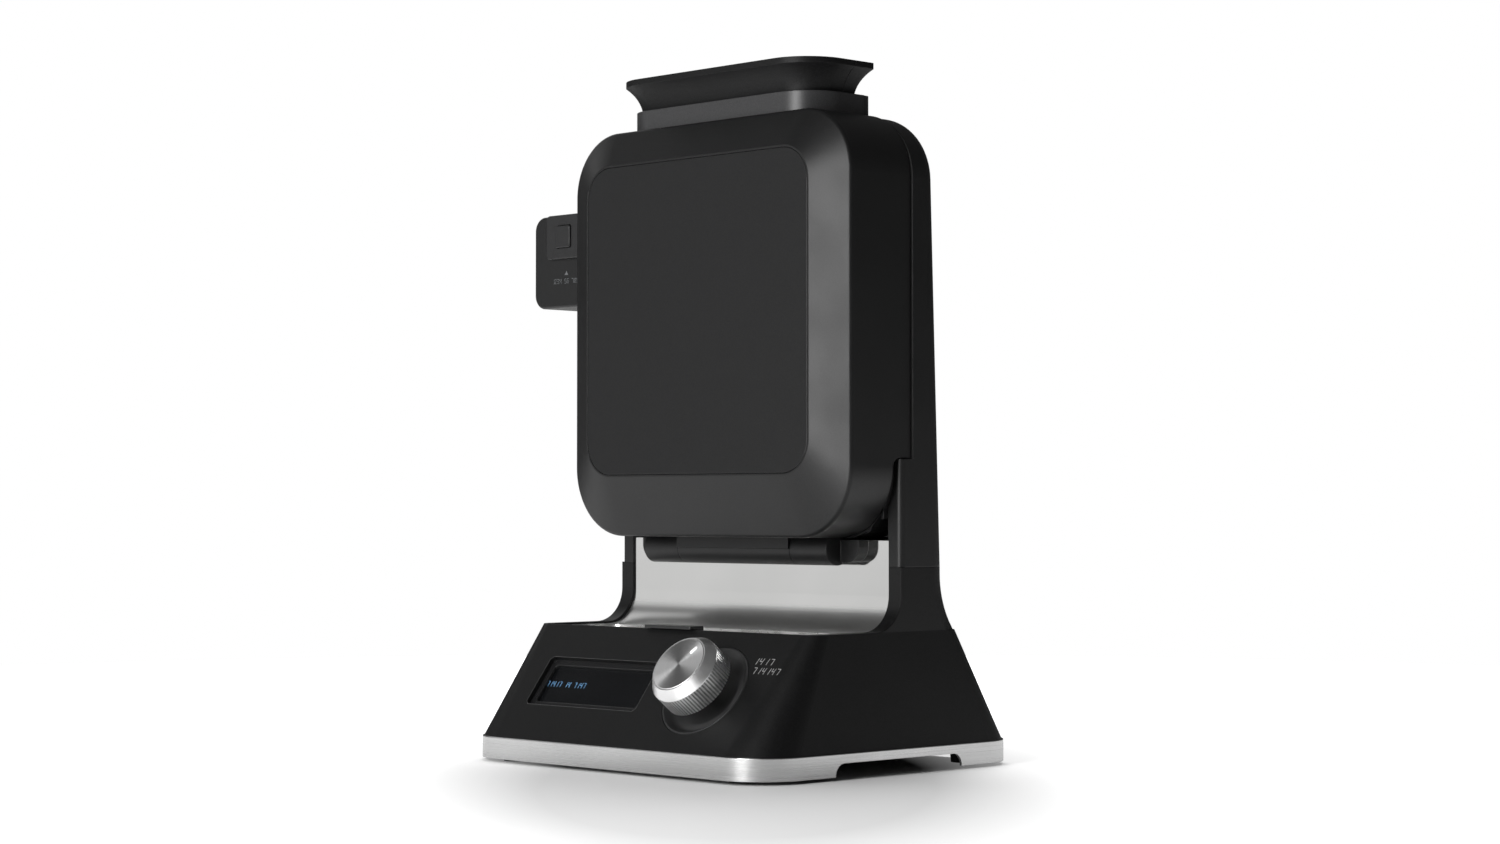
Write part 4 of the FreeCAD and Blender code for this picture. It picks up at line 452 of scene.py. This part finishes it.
def build_marks():
    """Generic digits on the display, the panel and the handle, in place of its words."""
    upright = Vector((0.0, 0.0, 1.0))
    slant = PANEL_UP + ACROSS * 0.2
    digit_row("display_digits", "71417 14 7147", panel_place(-85.5, 41.3, LENS_FACE), PANEL_UP,
              pitch=2.75 * MM, tall=3.5 * MM, wide=1.5 * MM, line=0.24 * MM,
              body="root", slot="segment_blue")
    digit_row("legend_upper", "1417", panel_place(84.0, 62.4, ON_PANEL), slant,
              pitch=4.1 * MM, tall=3.9 * MM, wide=2.2 * MM, line=0.4 * MM,
              body="root", slot="print_white")
    digit_row("legend_lower", "714147", panel_place(86.4, 56.0, ON_PANEL), slant,
              pitch=3.75 * MM, tall=3.9 * MM, wide=2.0 * MM, line=0.4 * MM,
              body="root", slot="print_white")
    digit_row("handle_digits", "1234 56 789", Vector((-152.0, HANDLE_FACE, 295.6)) * MM, upright,
              pitch=2.35 * MM, tall=2.7 * MM, wide=1.5 * MM, line=0.4 * MM,
              body="door", slot="print_grey")
    arrow = bmesh.new()
    corners = ((-140.3, 300.7), (-136.7, 300.7), (-138.5, 303.4))
    tip = [Vector((x, HANDLE_FACE, z)) * MM for x, z in corners]
    add_slab(arrow, tip, Vector((0.0, -1.0, 0.0)), PRINT)
    finish_piece("handle_arrow", arrow, "door", "print_grey")


build_pointer()
build_painted_window_edge()
build_marks()

# ------------------------------------------------------------------ studio and camera

def card(name, corner_points, strength):
    """A plain glowing card of the studio."""
    mesh = bpy.data.meshes.new(name)
    mesh.from_pydata([tuple(point) for point in corner_points], [], [(0, 1, 2, 3)])
    obj = bpy.data.objects.new(name, mesh)
    bpy.context.scene.collection.objects.link(obj)
    material = bpy.data.materials.new(name)
    material.use_nodes = True
    tree = material.node_tree
    tree.nodes.clear()
    glow = tree.nodes.new("ShaderNodeEmission")
    glow.inputs["Strength"].default_value = strength
    out = tree.nodes.new("ShaderNodeOutputMaterial")
    tree.links.new(glow.outputs[0], out.inputs[0])
    mesh.materials.append(material)
    obj.visible_camera = False


def upright_card(name, azimuth, distance, width, low, high, strength):
    """A card that faces the object from an azimuth (0 is the front, 90 its right)."""
    angle = math.radians(azimuth)
    out = Vector((math.sin(angle), -math.cos(angle), 0))
    side = Vector((math.cos(angle), math.sin(angle), 0))
    middle = out * distance
    half = side * width / 2
    foot, top = Vector((0, 0, low)), Vector((0, 0, high))
    corners = [middle - half + foot, middle + half + foot, middle + half + top, middle - half + top]
    card(name, corners, strength)


def area_light(name, location, target, size, power):
    """A soft box that is aimed at a point."""
    data = bpy.data.lights.new(name, "AREA")
    data.shape = "RECTANGLE"
    data.size, data.size_y = size
    data.energy = power
    obj = bpy.data.objects.new(name, data)
    bpy.context.scene.collection.objects.link(obj)
    obj.location = location
    aim = Vector(target) - Vector(location)
    obj.rotation_euler = aim.to_track_quat("-Z", "Y").to_euler()
    return obj


def build_floor():
    """White disc of floor that grows brighter away from the machine, to run into the white; its dim
    patch round the machine is a painted shadow.
    """
    reach, steps = 1.25, 96
    turns = [2 * math.pi * step / steps for step in range(steps)]
    ring = [(reach * math.cos(turn), reach * math.sin(turn), 0) for turn in turns]
    mesh = bpy.data.meshes.new("Floor")
    mesh.from_pydata(ring, [], [tuple(range(steps))])
    floor = bpy.data.objects.new("Floor", mesh)
    bpy.context.scene.collection.objects.link(floor)
    shader = Shader("FloorWhite", (0.80, 0.80, 0.80), roughness=0.6)
    shader.vary_roughness(shader.noise(scale=3.0), amount=0.03)
    # painted shadow: the floor does not glow in a long oval under the machine, from its back left to
    # its front right
    painted_shadow_oval = shader.node("ShaderNodeMapping", vector_type="TEXTURE", Location=(0.09, -0.09, 0.0),
                       Rotation=(0.0, 0.0, math.radians(-45.0)), Scale=(2.6, 1.0, 1.0))
    shader.link(shader.where, painted_shadow_oval.inputs["Vector"])
    distance = shader.node("ShaderNodeVectorMath", operation="LENGTH")
    shader.link(painted_shadow_oval.outputs["Vector"], distance.inputs[0])
    glow = shader.spread(distance.outputs["Value"], 0.0, 1.0, start=0.11, stop=0.30)
    # the machine receives less of the glow than the eye
    path = shader.node("ShaderNodeLightPath")
    share = shader.spread(path.outputs["Is Camera Ray"], 0.45, 1.0, start=0.0, stop=1.0)
    shader.set("Emission Color", (1.0, 1.0, 1.0, 1.0))
    shader.link(shader.math("MULTIPLY", glow, share), shader.bsdf.inputs["Emission Strength"])
    mesh.materials.append(shader.material)


def build_world():
    """White to the eye, dim grey as a light."""
    world = bpy.data.worlds.new("Studio")
    bpy.context.scene.world = world
    world.use_nodes = True
    tree = world.node_tree
    seen = tree.nodes["Background"]
    seen.inputs["Color"].default_value = (1.0, 1.0, 1.0, 1.0)
    dim = tree.nodes.new("ShaderNodeBackground")
    dim.inputs["Color"].default_value = (0.07, 0.07, 0.07, 1.0)
    path = tree.nodes.new("ShaderNodeLightPath")
    mix = tree.nodes.new("ShaderNodeMixShader")
    tree.links.new(path.outputs["Is Camera Ray"], mix.inputs[0])
    tree.links.new(dim.outputs[0], mix.inputs[1])
    tree.links.new(seen.outputs[0], mix.inputs[2])
    tree.links.new(mix.outputs[0], tree.nodes["World Output"].inputs[0])


def build_studio():
    """Floor, surroundings, cards and soft boxes."""
    build_floor()
    build_world()
    upright_card("FrontLeftCard", azimuth=-44.0, distance=2.2, width=1.9, low=0.0, high=1.75,
                 strength=0.70)
    upright_card("LeftCard", azimuth=-95.0, distance=2.0, width=0.8, low=0.95, high=2.3,
                 strength=0.85)
    upright_card("BackLeftCard", azimuth=-116.0, distance=2.0, width=0.7, low=0.90, high=2.3,
                 strength=0.85)
    upright_card("RightCard", azimuth=118.0, distance=1.5, width=1.6, low=0.0, high=0.40,
                 strength=0.20)
    overhead = area_light("Overhead", location=(-0.45, 0.75, 2.1), target=(0, 0, 0),
                          size=(1.6, 1.6), power=44.0)
    overhead.visible_glossy = False
    area_light("FrontBox", location=(0.20, -1.15, 0.42), target=(0, 0, 0.24),
               size=(0.42, 0.75), power=13.0)


def build_camera():
    """Long lens a little above the control panel, round to the right and tipped up slightly."""
    data = bpy.data.cameras.new("Camera")
    data.lens = 70.43
    data.sensor_width = 36.0
    data.clip_start = 0.05
    data.clip_end = 60.0
    camera = bpy.data.objects.new("Camera", data)
    bpy.context.scene.collection.objects.link(camera)
    camera.location = (1.2747, -1.23881, 0.1552)
    turn, rise = math.radians(45.64), math.radians(1.6)
    aim = Vector((-math.sin(turn) * math.cos(rise), math.cos(turn) * math.cos(rise),
                  math.sin(rise)))
    camera.rotation_mode = "QUATERNION"
    camera.rotation_quaternion = aim.to_track_quat("-Z", "Y")
    bpy.context.scene.camera = camera


build_studio()
build_camera()
bpy.context.scene.view_settings.view_transform = "Standard"
